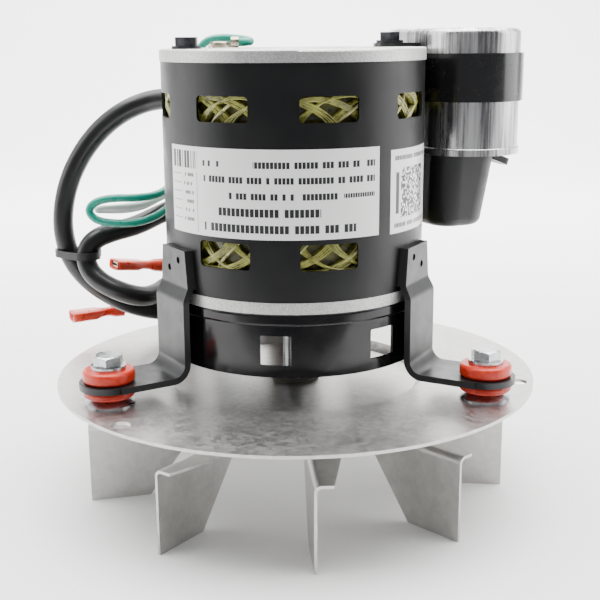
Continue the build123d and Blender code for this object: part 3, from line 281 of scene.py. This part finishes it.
def moulded_plastic(name, base, gloss, grain_mm=0.8, grain_depth=0.01, coat=0.0):
    """Moulded or extruded plastic or rubber: one colour, slightly cloudy gloss, fine skin."""
    material, tree, shader = finish_of(name, Base_Color=linear(base), IOR=1.5,
                                       Coat_Weight=coat, Coat_Roughness=0.15)
    cloud = noise(tree, here(tree), 4.0, 3.0)
    tree.links.new(spread_to(tree, cloud, gloss - 0.05, gloss + 0.07), shader.inputs["Roughness"])
    relief(tree, shader, noise(tree, here(tree), grain_mm), grain_depth, 0.4)
    return material


def magnet_wire(name, hollow, crest):
    """Enamelled copper magnet wire dipped in varnish: yellow-green and wet-looking, darker
    where the varnish has pooled."""
    material, tree, shader = finish_of(name, IOR=1.55, Coat_Weight=0.6, Coat_Roughness=0.08)
    cloud = noise(tree, here(tree), 3.0, 4.0, 0.6)
    tree.links.new(two_tones(tree, spread_to(tree, cloud, 0, 1), hollow, crest),
                   shader.inputs["Base Color"])
    tree.links.new(spread_to(tree, cloud, 0.22, 0.36), shader.inputs["Roughness"])
    return material


def vinyl_terminal():
    """Translucent vinyl insulation over a crimped terminal: warm red with a waxy gloss."""
    material, tree, shader = finish_of(
        "vinyl_terminal", IOR=1.52, Subsurface_Weight=0.4, Subsurface_Scale=0.002,
        Subsurface_Radius=(1.0, 0.3, 0.15), Coat_Weight=0.3, Coat_Roughness=0.1)
    cloud = noise(tree, here(tree), 3.0, 2.0)
    tree.links.new(two_tones(tree, spread_to(tree, cloud, 0, 1), "#d93a22", "#f0573a"),
                   shader.inputs["Base Color"])
    tree.links.new(spread_to(tree, cloud, 0.25, 0.36), shader.inputs["Roughness"])
    return material


def studio_paper():
    """Seamless studio paper: near white, matt, with a faint tooth."""
    material, tree, shader = finish_of("studio_paper", Base_Color=linear("#f4f4f3"), Roughness=0.85)
    relief(tree, shader, noise(tree, here(tree), 3.0), 0.02, 0.2)
    return material


# ---------------------------------------------------------------- printed labels

PAPER_WHITE = "#f3f3f1"
INK = "#232324"
ONE_ROW = 100.0
MARK_GAP = 0.2
CHECKS_BARE = 0.42


class Print:
    """Ink patterns on a label wrapped round the shell, laid out in millimetres: across is
    the arc from the front, up is the height above the plate."""

    def __init__(self, name, skin_r):
        self.material, self.tree, self.shader = finish_of(
            name, IOR=1.5, Roughness=0.32, Coat_Weight=0.4, Coat_Roughness=0.12)
        split = add(self.tree, "ShaderNodeSeparateXYZ", {"Vector": here(self.tree)}).outputs
        front = self.math("MULTIPLY", split["Y"], -1.0)
        angle = self.math("ARCTAN2", split["X"], front)
        self.across = self.math("MULTIPLY", angle, skin_r * PER_METRE)
        self.up = self.math("MULTIPLY", split["Z"], PER_METRE)
        self.ink = None

    def math(self, operation, first, second=0.0):
        node = add(self.tree, "ShaderNodeMath", {0: first, 1: second}, operation=operation)
        return node.outputs[0]

    def within(self, value, low, high):
        above = self.math("GREATER_THAN", value, low)
        below = self.math("LESS_THAN", value, high)
        return self.math("MULTIPLY", above, below)

    def area(self, left, right, bottom, top):
        return self.math("MULTIPLY", self.within(self.across, left, right),
                         self.within(self.up, bottom, top))

    def put(self, mask):
        """Adds a shape to the ink."""
        self.ink = mask if self.ink is None else self.math("MAXIMUM", self.ink, mask)

    def random_over(self, cell_across, cell_up, seed):
        """A random value for each cell of a grid."""
        column = self.math("FLOOR", self.math("DIVIDE", self.across, cell_across))
        row = self.math("FLOOR", self.math("DIVIDE", self.up, cell_up))
        cell = add(self.tree, "ShaderNodeCombineXYZ", {"X": column, "Y": row, "Z": seed})
        speck = add(self.tree, "ShaderNodeTexWhiteNoise", {"Vector": cell.outputs[0]},
                    noise_dimensions="3D")
        return speck.outputs["Value"]

    def bar(self, left, right, bottom, top):
        """A solid bar or rule."""
        self.put(self.area(left, right, bottom, top))

    def line_of_marks(self, left, right, middle, height, mark, share, seed):
        """A row of plain blocks of uneven length, in place of lettering."""
        filled = self.math("LESS_THAN", self.random_over(mark, ONE_ROW, seed), share)
        step = self.math("FRACT", self.math("DIVIDE", self.across, mark))
        clear = self.math("GREATER_THAN", step, MARK_GAP)
        marks = self.math("MULTIPLY", filled, clear)
        box = self.area(left, right, middle - height / 2, middle + height / 2)
        self.put(self.math("MULTIPLY", marks, box))

    def stripes(self, left, right, bottom, top, cell, seed):
        """Upright stripes of random width."""
        filled = self.math("GREATER_THAN", self.random_over(cell, ONE_ROW, seed), 0.5)
        self.put(self.math("MULTIPLY", filled, self.area(left, right, bottom, top)))

    def checks(self, left, right, bottom, top, cell, seed):
        """A field of small random squares."""
        filled = self.math("GREATER_THAN", self.random_over(cell, cell, seed), CHECKS_BARE)
        self.put(self.math("MULTIPLY", filled, self.area(left, right, bottom, top)))

    def done(self):
        colour = two_tones(self.tree, self.ink, PAPER_WHITE, INK)
        self.tree.links.new(colour, self.shader.inputs["Base Color"])
        return self.material


def rating_label_print(skin_r):
    """Screen-printed white polyester label: black plain blocks in rows, stripes and rules."""
    page = Print("rating_label_print", skin_r)
    low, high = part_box("rating_label")
    bottom = low.z * PER_METRE
    top = high.z * PER_METRE
    rows = [
        (top - 4.6, 1.7, -30.0, -23.0, 0.8), (top - 4.6, 1.9, -12.0, 25.5, 0.86),
        (top - 9.1, 1.9, -29.0, 25.5, 0.82), (top - 13.8, 1.9, -20.0, 13.0, 0.76),
        (top - 13.8, 1.3, 15.0, 25.5, 0.95), (top - 18.6, 2.4, -24.0, 8.0, 0.9),
        (top - 23.4, 2.4, -29.0, 19.0, 0.9),
    ]
    for k, (middle, height, left, right, share) in enumerate(rows):
        page.line_of_marks(left, right, middle, height, 0.62 * height, share, 3.0 + k)
    for k in range(6):
        middle = top - 8.6 - 2.7 * k
        page.line_of_marks(-38.5, -33.5, middle, 1.0, 0.7, 0.8, 20.0 + k)
        page.bar(-44.5, -39.8, middle - 0.1, middle + 0.1)
    page.stripes(-44.8, -31.6, top - 6.6, top - 1.4, 0.36, 40.0)
    page.bar(-32.0, -31.8, bottom + 0.8, top - 7.6)
    return page.done()


def code_label_print(skin_r):
    """Printed white polyester label with a block of random checks and plain rows."""
    page = Print("code_label_print", skin_r)
    low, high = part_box("code_label")
    bottom = low.z * PER_METRE
    top = high.z * PER_METRE
    page.checks(37.2, 52.8, bottom + 4.6, bottom + 19.8, 0.62, 51.0)
    page.line_of_marks(34.0, 56.0, top - 2.6, 1.3, 0.8, 0.8, 52.0)
    page.line_of_marks(34.0, 56.0, bottom + 2.4, 1.3, 0.8, 0.8, 53.0)
    page.bar(34.6, 36.2, bottom + 6.0, bottom + 18.6)
    return page.done()


# ---------------------------------------------------------------- mesh helpers

def mesh_piece(name, points, faces, finish, slot):
    """A smooth-shaded piece that stays with the housing."""
    mesh = bpy.data.meshes.new(name)
    mesh.from_pydata(points, [], faces)
    mesh.validate()
    mesh.shade_smooth()
    piece = bpy.data.objects.new(name, mesh)
    bpy.context.scene.collection.objects.link(piece)
    mesh.materials.append(finish)
    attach(piece, "housing")
    return piece


def tube_grid(loops):
    """Points and faces for a closed skin through equal loops of points, capped at its ends."""
    count = len(loops[0])
    last = (len(loops) - 1) * count
    points = [p for loop in loops for p in loop]
    faces = []
    for row in range(0, last, count):
        for k in range(count):
            side = (k + 1) % count
            faces.append((row + k, row + side, row + count + side, row + count + k))
    faces.append(tuple(reversed(range(count))))
    faces.append(tuple(last + k for k in range(count)))
    return points, faces


def at_bearing(radius, bearing, z):
    """A point at a distance from the shaft, a bearing and a height."""
    angle = math.radians(bearing)
    return Vector((radius * math.sin(angle), -radius * math.cos(angle), z))


# ---------------------------------------------------------------- cords

SLEEVE_ROUTE = [
    (-38.86, 22.71, 91.0), (-46.8, 27.35, 91.0), (-57.0, 28.8, 87.8), (-65.6, 29.6, 82.4),
    (-73.2, 30.2, 74.5), (-79.0, 30.4, 65.0), (-82.5, 30.4, 54.6), (-83.5, 30.5, 44.4),
    (-81.8, 30.8, 35.0), (-77.2, 31.6, 27.0), (-70.2, 33.4, 20.4), (-61.6, 36.6, 14.8),
    (-52.4, 41.2, 11.2), (-42.8, 46.2, 10.0), (-33.4, 50.4, 12.6), (-25.6, 53.2, 19.6),
    (-21.0, 54.4, 29.6), (-22.4, 54.2, 40.2), (-29.4, 52.6, 48.4), (-39.2, 48.4, 51.4),
    (-48.8, 41.6, 48.4), (-57.2, 34.0, 45.0), (-65.2, 28.6, 43.8), (-71.6, 26.0, 41.6),
    (-74.9, 25.4, 36.6), (-73.6, 24.0, 30.6), (-68.6, 22.2, 26.2), (-61.4, 21.4, 23.0),
    (-54.6, 24.0, 20.6), (-50.2, 31.4, 20.4), (-47.4, 40.6, 21.4), (-43.8, 49.8, 19.8),
    (-38.6, 58.0, 16.8),
]
WHITE_ROUTE = [
    (-40.0, 58.6, 16.0), (-36.6, 64.0, 14.0), (-31.5, 71.0, 12.6), (-24.2, 74.6, 18.6),
    (-21.2, 72.4, 30.6), (-22.8, 67.6, 43.6), (-29.2, 60.4, 53.0), (-36.6, 52.0, 57.4),
    (-43.5, 42.0, 57.2), (-49.5, 31.5, 54.9), (-56.0, 23.8, 53.8), (-62.4, 21.0, 53.4),
    (-68.0, 20.8, 53.1), (-69.4, 23.2, 52.7), (-68.0, 25.6, 52.3), (-62.4, 26.4, 52.0),
    (-56.6, 29.8, 52.0), (-51.4, 36.2, 53.4), (-46.8, 43.8, 56.2), (-43.2, 51.0, 56.4),
    (-42.4, 58.4, 52.4), (-43.4, 64.6, 44.0), (-42.6, 68.6, 33.4), (-40.4, 70.4, 22.6),
    (-39.0, 67.6, 13.4), (-42.8, 61.6, 9.2), (-49.0, 54.8, 9.0), (-55.6, 49.0, 10.2),
    (-61.8, 45.7, 11.1), (-65.2, 44.2, 11.0),
]
RED_ROUTE = [
    (-38.3, 58.4, 18.4), (-35.3, 63.2, 17.4), (-30.8, 67.6, 19.2), (-26.8, 68.8, 25.0),
    (-28.6, 66.6, 30.6), (-34.4, 62.2, 31.4), (-39.6, 57.6, 27.8), (-44.4, 53.6, 26.0),
    (-50.6, 49.6, 27.0),
]
GREEN_ROUTE = [
    (-37.5, 57.0, 16.0), (-33.6, 62.8, 14.0), (-26.4, 68.8, 15.0), (-19.6, 70.4, 24.0),
    (-18.4, 67.0, 38.6), (-21.4, 62.0, 50.0), (-28.2, 55.2, 58.6), (-36.6, 45.8, 62.4),
    (-42.8, 35.4, 60.8), (-47.4, 26.4, 57.4), (-54.6, 20.8, 57.0), (-63.2, 18.8, 57.4),
    (-69.2, 18.6, 56.2), (-71.9, 18.8, 53.0), (-69.4, 18.8, 49.6), (-63.6, 19.0, 48.4),
    (-54.8, 20.6, 48.2), (-47.6, 25.8, 50.2), (-42.2, 33.2, 54.6), (-36.4, 38.8, 60.4),
]
GROUND_ROUTE = [
    (-18.4, 25.0, 109.7), (-15.9, 25.0, 109.7), (-14.2, 27.6, 109.9), (-15.6, 30.2, 110.3),
    (-19.4, 31.2, 110.9), (-24.6, 31.4, 111.2), (-29.6, 32.6, 110.6), (-33.6, 34.4, 106.6),
    (-36.8, 35.4, 101.4), (-38.9, 34.2, 96.6), (-39.2, 29.2, 92.8), (-36.1, 27.4, 92.4),
]
SLEEVE_DIAMETER = 7.2
LEAD_DIAMETER = 2.8


def cord_curve(name, route, diameter, finish):
    """A round cord on a smooth spline through its route's control points."""
    data = bpy.data.curves.new(name, "CURVE")
    data.dimensions = "3D"
    spline = data.splines.new("NURBS")
    spline.points.add(len(route) - 1)
    for point, place in zip(spline.points, route):
        point.co = (*(c * MM for c in place), 1.0)
    spline.order_u = 3
    spline.use_endpoint_u = True
    spline.resolution_u = 12
    data.bevel_depth = diameter / 2 * MM
    data.bevel_resolution = 7
    data.use_fill_caps = True
    data.materials.append(finish)
    cord = bpy.data.objects.new(name, data)
    bpy.context.scene.collection.objects.link(cord)
    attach(cord, "housing")
    return cord


# along the terminal, half width, half height and squareness, from the flared barrel through
# the neck to the hood's open end and back inside it
TERMINAL_STATIONS = [
    (0.0, 2.45, 2.45, 2.0), (0.5, 2.6, 2.6, 2.0), (3.4, 2.35, 2.35, 2.0), (5.4, 1.75, 1.75, 2.0),
    (7.4, 1.7, 1.7, 2.0), (9.2, 2.6, 1.85, 2.6), (11.0, 3.85, 1.98, 3.6), (18.8, 4.0, 2.0, 4.0),
    (20.0, 3.92, 1.92, 4.0), (20.0, 3.5, 1.5, 4.0), (12.5, 3.4, 1.4, 4.0),
]
TERMINAL_SIDES = 40


def push_on_terminal(name, route, finish):
    """The soft insulator of a push-on terminal: flared barrel, neck and hollow hood."""
    before, end = (Vector(place) * MM for place in route[-2:])
    onward = (end - before).normalized()
    upward = onward.cross(Vector((0, 0, 1)).cross(onward)).normalized()
    across = upward.cross(onward)
    loops = []
    for along, half_wide, half_tall, squareness in TERMINAL_STATIONS:
        loop = []
        for k in range(TERMINAL_SIDES):
            turn = math.tau * k / TERMINAL_SIDES
            wide = math.copysign(abs(math.cos(turn)) ** (2 / squareness), math.cos(turn))
            tall = math.copysign(abs(math.sin(turn)) ** (2 / squareness), math.sin(turn))
            loop.append(end + (along * onward + half_wide * wide * across
                               + half_tall * tall * upward) * MM)
        loops.append(loop)
    terminal = mesh_piece(name + "_hood", *tube_grid(loops), finish, "red_terminal")
    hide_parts(name)
    return terminal


def cords():
    """The sleeve and the four leads as round cords along their routes, with a push-on terminal hood
    on each lead that ends in a connector.
    """
    sleeve_skin = moulded_plastic("sleeve_vinyl", "#0c0c0d", 0.36, 1.2, 0.02, 0.1)
    white = moulded_plastic("white_insulation", "#eeeeec", 0.3, coat=0.2)
    red = moulded_plastic("red_insulation", "#a82a20", 0.3, coat=0.2)
    green = moulded_plastic("green_insulation", "#10937d", 0.28, coat=0.3)
    plans = [
        ("lead_sleeve", SLEEVE_ROUTE, SLEEVE_DIAMETER, 0.3104, sleeve_skin, "sleeve_pvc",
         "bare", "medium", ["cable_tie"]),
        ("white_lead", WHITE_ROUTE, LEAD_DIAMETER, 0.2520, white, "white_pvc",
         "connector", "medium", ["terminal_receptacles"]),
        ("red_lead", RED_ROUTE, LEAD_DIAMETER, 0.0531, red, "red_pvc",
         "connector", "medium", []),
        ("green_lead", GREEN_ROUTE, LEAD_DIAMETER, 0.1781, green, "green_pvc",
         "connector", "medium", []),
        ("ground_lead", GROUND_ROUTE, LEAD_DIAMETER, 0.0489, green, "green_pvc",
         "object", "medium", ["ground_ring"]),
    ]
    vinyl = vinyl_terminal()
    for name, route, diameter, length, finish, slot, far_end, stiffness, extras in plans:
        cord = cord_curve(name + "_run", route, diameter, finish)
        if far_end == "connector":
            extras = [*extras, push_on_terminal(name + "_terminal", route, vinyl)]
        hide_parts(name)


# ---------------------------------------------------------------- windings

def wire(path, radius, sides=5):
    """A round wire along a list of points, as loops of points across it."""
    loops = []
    for k, spot in enumerate(path):
        ahead = path[min(k + 1, len(path) - 1)] - path[max(k - 1, 0)]
        ahead.normalize()
        side = ahead.cross(Vector((0, 0, 1)))
        if side.length < 0.05:
            side = ahead.cross(Vector((1, 0, 0)))
        side.normalize()
        up = side.cross(ahead)
        loops.append([
            spot + radius * (math.cos(t) * side + math.sin(t) * up)
            for t in (math.tau * j / sides for j in range(sides))
        ])
    return loops


def joined(all_loops):
    """Many wires as one set of points and faces."""
    points = []
    faces = []
    for loops in all_loops:
        new_points, new_faces = tube_grid(loops)
        start = len(points)
        points += new_points
        faces += [tuple(start + k for k in face) for face in new_faces]
    return points, faces


BUNDLES = 24
BARE_SHARE = 0.1
WIRES_IN_BUNDLE = 16
WIRES_ABREAST = 4
ABREAST_DEGREES = 1.5
LAYER_RISE = 0.62 * MM
BUNDLE_SPAN = 48.0
WIRE_R = 0.34 * MM
OFF_RING = 0.2 * MM
WANDER_DEGREES = 0.6
LEAN_MOST = 0.9 * MM
CREST_LOW = 0.72
CREST_SPREAD = 0.2
ARCH_FULLNESS = 0.7
ARC_STEPS = 22


def coil_wires(node, stack_side):
    """The end turns of the coils: each bundle leans out of one slot and arches round to
    another, its wires a little uneven, over the wound ring behind. stack_side is the sign
    of the direction from the ring to the laminations."""
    low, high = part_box(node)
    ring_r = high.x
    start_z = low.z if stack_side < 0 else high.z
    rise = -stack_side * (high.z - low.z)
    jitter = random.Random(5 if stack_side < 0 else 6)
    all_loops = []
    for bundle in range(BUNDLES):
        first = 360 * bundle / BUNDLES
        if jitter.random() < BARE_SHARE:
            continue
        crest = CREST_LOW + CREST_SPREAD * jitter.random()
        lean = jitter.uniform(0.0, LEAN_MOST)
        for k in range(WIRES_IN_BUNDLE):
            lane = k % WIRES_ABREAST
            across = (lane - (WIRES_ABREAST - 1) / 2) * ABREAST_DEGREES
            lift = (k // WIRES_ABREAST) * LAYER_RISE
            wander = jitter.uniform(-WANDER_DEGREES, WANDER_DEGREES)
            path = []
            for step in range(ARC_STEPS + 1):
                t = step / ARC_STEPS
                arch = math.sin(math.pi * t) ** ARCH_FULLNESS
                bearing = first + BUNDLE_SPAN * t + across * (1 - 0.5 * arch) + wander * arch
                out = ring_r + OFF_RING + lift * (0.5 + 0.5 * arch) + lean * t * (1 - t) * 2
                height = start_z + rise * (0.06 + crest * arch * (0.86 + 0.035 * lane))
                path.append(at_bearing(out, bearing, height))
            all_loops.append(wire(path, WIRE_R))
    return joined(all_loops)


LACINGS = 13
LACING_R = 0.45 * MM
LACING_PROUD = 2.0 * MM
LACING_DEPTH = 9.0 * MM
LACING_INSET = 0.6 * MM
LACING_UNEVEN = 3
LACING_SLANT = (6, 14)
LACING_STEPS = 28


def lacing_cord(node, stack_side):
    """Straw-coloured lacing cord wound slantwise round the end turns."""
    low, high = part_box(node)
    middle = (low.z + high.z) / 2
    half = (high.z - low.z) / 2
    outer = high.x + LACING_PROUD
    inner = outer - LACING_DEPTH
    jitter = random.Random(8 if stack_side < 0 else 9)
    all_loops = []
    for k in range(LACINGS):
        first = 360 * k / LACINGS + jitter.uniform(-LACING_UNEVEN, LACING_UNEVEN)
        slant = jitter.uniform(*LACING_SLANT)
        path = []
        for step in range(LACING_STEPS + 1):
            t = math.tau * step / LACING_STEPS
            radius = (outer + inner) / 2 + (outer - inner) / 2 * math.cos(t)
            height = middle + (half - LACING_INSET) * math.sin(t)
            path.append(at_bearing(radius, first + slant * math.sin(t), height))
        all_loops.append(wire(path, LACING_R, 6))
    return joined(all_loops)


def windings():
    """The end turns and the lacing that show through the shell's windows."""
    wires = magnet_wire("magnet_wire", "#65641c", "#b3b252")
    lacing = moulded_plastic("lacing_cord", "#b9b47c", 0.5, 0.5, 0.02)
    for node, stack_side in (("rear_winding", -1), ("front_winding", 1)):
        mesh_piece(node + "_wires", *coil_wires(node, stack_side), wires, "enamelled_wire")
        mesh_piece(node + "_lacing", *lacing_cord(node, stack_side), lacing, "slot_paper")


# ---------------------------------------------------------------- finishes on the CAD pieces

def dress():
    """Every CAD piece gets the finish of what it is made of; the wound core's is darkened as
    painted shade.
    """
    enamel = black_enamel("shell_enamel", 0.38)
    gloss_enamel = black_enamel("skirt_enamel", 0.15)
    casting = cast_aluminium()
    laminations = lamination_stack()
    # The wound core takes darker copies of the loose wires' colours: painted shade in the depths of
    # the winding behind the end turns.
    wound = magnet_wire("shaded_wound_core", "#37350f", "#716d2c")
    sheet = galvanised_sheet()
    blades = aluminised_sheet()
    powder = powder_coat()
    bright_zinc = zinc_plate()
    screw_zinc = zinc_plate("screw_zinc", "#a9abae", "#d2d4d6", 0.24)
    dark_bolt = zinc_plate("phosphated_steel", "#2b2b2d", "#4d4e51", 0.42)
    ground = ground_steel()
    can = drawn_aluminium_can()
    rubber = silicone_rubber()
    boot = moulded_plastic("boot_rubber", "#151516", 0.42, 1.0, 0.02)
    nylon = moulded_plastic("black_nylon", "#131314", 0.4, 0.9, 0.012)
    resin = moulded_plastic("lid_resin", "#2a2a2a", 0.5)
    paper = moulded_plastic("slot_paper", "#d8d3bd", 0.7, 0.4, 0.02)
    felt = moulded_plastic("felt", "#55524b", 0.9, 0.4, 0.06)
    tinned = zinc_plate("tinned_brass", "#a79f86", "#d8d2bc", 0.26)
    brass = zinc_plate("plated_screw", "#7d786a", "#b5ae9b", 0.3)
    strap = moulded_plastic("strap_enamel", "#0e0e0f", 0.24, 1.4, 0.006, 0.6)
    finishes = {
        sheet: ["mounting_plate"],
        enamel: ["motor_shell"],
        gloss_enamel: ["motor_skirt"],
        casting: ["rear_end_shield", "front_end_shield", "front_end_ring", "rear_end_ring"],
        laminations: ["stator_core", "rotor_core"],
        wound: ["coil_sides", "rear_winding", "front_winding"],
        paper: ["slot_wedges"],
        nylon: ["thermal_protector", "lead_bushing", "cable_tie"],
        ground: ["shaft", "wave_washer", "front_bearing_balls", "rear_bearing_balls",
                 "front_bearing_inner_ring", "front_bearing_outer_ring",
                 "rear_bearing_inner_ring", "rear_bearing_outer_ring", "front_bearing_cage",
                 "rear_bearing_cage"],
        felt: ["shaft_seal"],
        bright_zinc: ["seal_collar", "impeller_hub", "hub_rivets", "grommet_sleeves",
                      "cone_washers", "plate_nuts"],
        screw_zinc: ["mounting_screws"],
        blades: ["impeller_wheel"],
        dark_bolt: ["through_bolts", "through_bolt_nuts", "set_screw"],
        rubber: ["grommets"],
        can: ["capacitor_can"],
        resin: ["capacitor_lid"],
        tinned: ["capacitor_terminals", "terminal_receptacles", "ground_ring"],
        boot: ["capacitor_boot"],
        strap: ["capacitor_strap"],
        rating_label_print(SHELL_R): ["rating_label"],
        code_label_print(SHELL_R): ["code_label"],
        brass: ["ground_screw"],
        powder: ["leg_left", "leg_rear", "leg_right"],
    }
    for finish, names in finishes.items():
        for name in names:
            piece = NODES[name]
            piece.data.materials.clear()
            piece.data.materials.append(finish)


# ---------------------------------------------------------------- floor and light

SWEEP_FRONT = -0.2
SWEEP_BACK = 0.9
SWEEP_BEND_R = 0.6
SWEEP_BEND_STEPS = 12
SWEEP_TOP = 3.0
SWEEP_HALF = 3.0


def floor():
    """Pale paper under the fan that curves up behind it; nothing pale stands in front."""
    profile = [(SWEEP_FRONT, 0.0), (SWEEP_BACK, 0.0)]
    for k in range(1, SWEEP_BEND_STEPS + 1):
        turn = math.radians(90 * k / SWEEP_BEND_STEPS)
        profile.append((SWEEP_BACK + SWEEP_BEND_R * math.sin(turn),
                        SWEEP_BEND_R * (1 - math.cos(turn))))
    profile.append((SWEEP_BACK + SWEEP_BEND_R, SWEEP_TOP))
    points = [(x, y, BLADE_TIPS + z) for y, z in profile for x in (-SWEEP_HALF, SWEEP_HALF)]
    faces = [(2 * k, 2 * k + 1, 2 * k + 3, 2 * k + 2) for k in range(len(profile) - 1)]
    mesh = bpy.data.meshes.new("paper_sweep")
    mesh.from_pydata(points, [], faces)
    mesh.shade_smooth()
    mesh.materials.append(studio_paper())
    sweep = bpy.data.objects.new("paper_sweep", mesh)
    bpy.context.scene.collection.objects.link(sweep)


def soft_light(name, place, aim, width, height, watts):
    """A rectangular soft box turned to face a point."""
    data = bpy.data.lights.new(name, "AREA")
    data.shape = "RECTANGLE"
    data.size = width
    data.size_y = height
    data.energy = watts
    lamp = bpy.data.objects.new(name, data)
    bpy.context.scene.collection.objects.link(lamp)
    lamp.location = place
    lamp.rotation_euler = (Vector(aim) - Vector(place)).to_track_quat("-Z", "Y").to_euler()


def studio():
    """A dim room, one broad box overhead, one at each side and one on the paper behind."""
    world = bpy.data.worlds.new("dim_room")
    world.use_nodes = True
    room = world.node_tree.nodes["Background"]
    room.inputs["Color"].default_value = linear("#f4f6fa")
    room.inputs["Strength"].default_value = 0.3
    bpy.context.scene.world = world
    middle = (0.0, 0.0, 0.04)
    soft_light("top_box", (0.0, 0.1, 0.8), middle, 1.4, 1.0, 40.0)
    soft_light("left_box", (-0.85, 0.05, 0.34), middle, 0.7, 0.7, 5.0)
    soft_light("right_box", (0.85, 0.05, 0.34), middle, 0.7, 0.7, 6.0)
    soft_light("backdrop_box", (0.0, 0.5, 0.75), (0.0, 1.5, 0.3), 1.8, 0.6, 60.0)


camera()
cords()
dress()
windings()
floor()
studio()
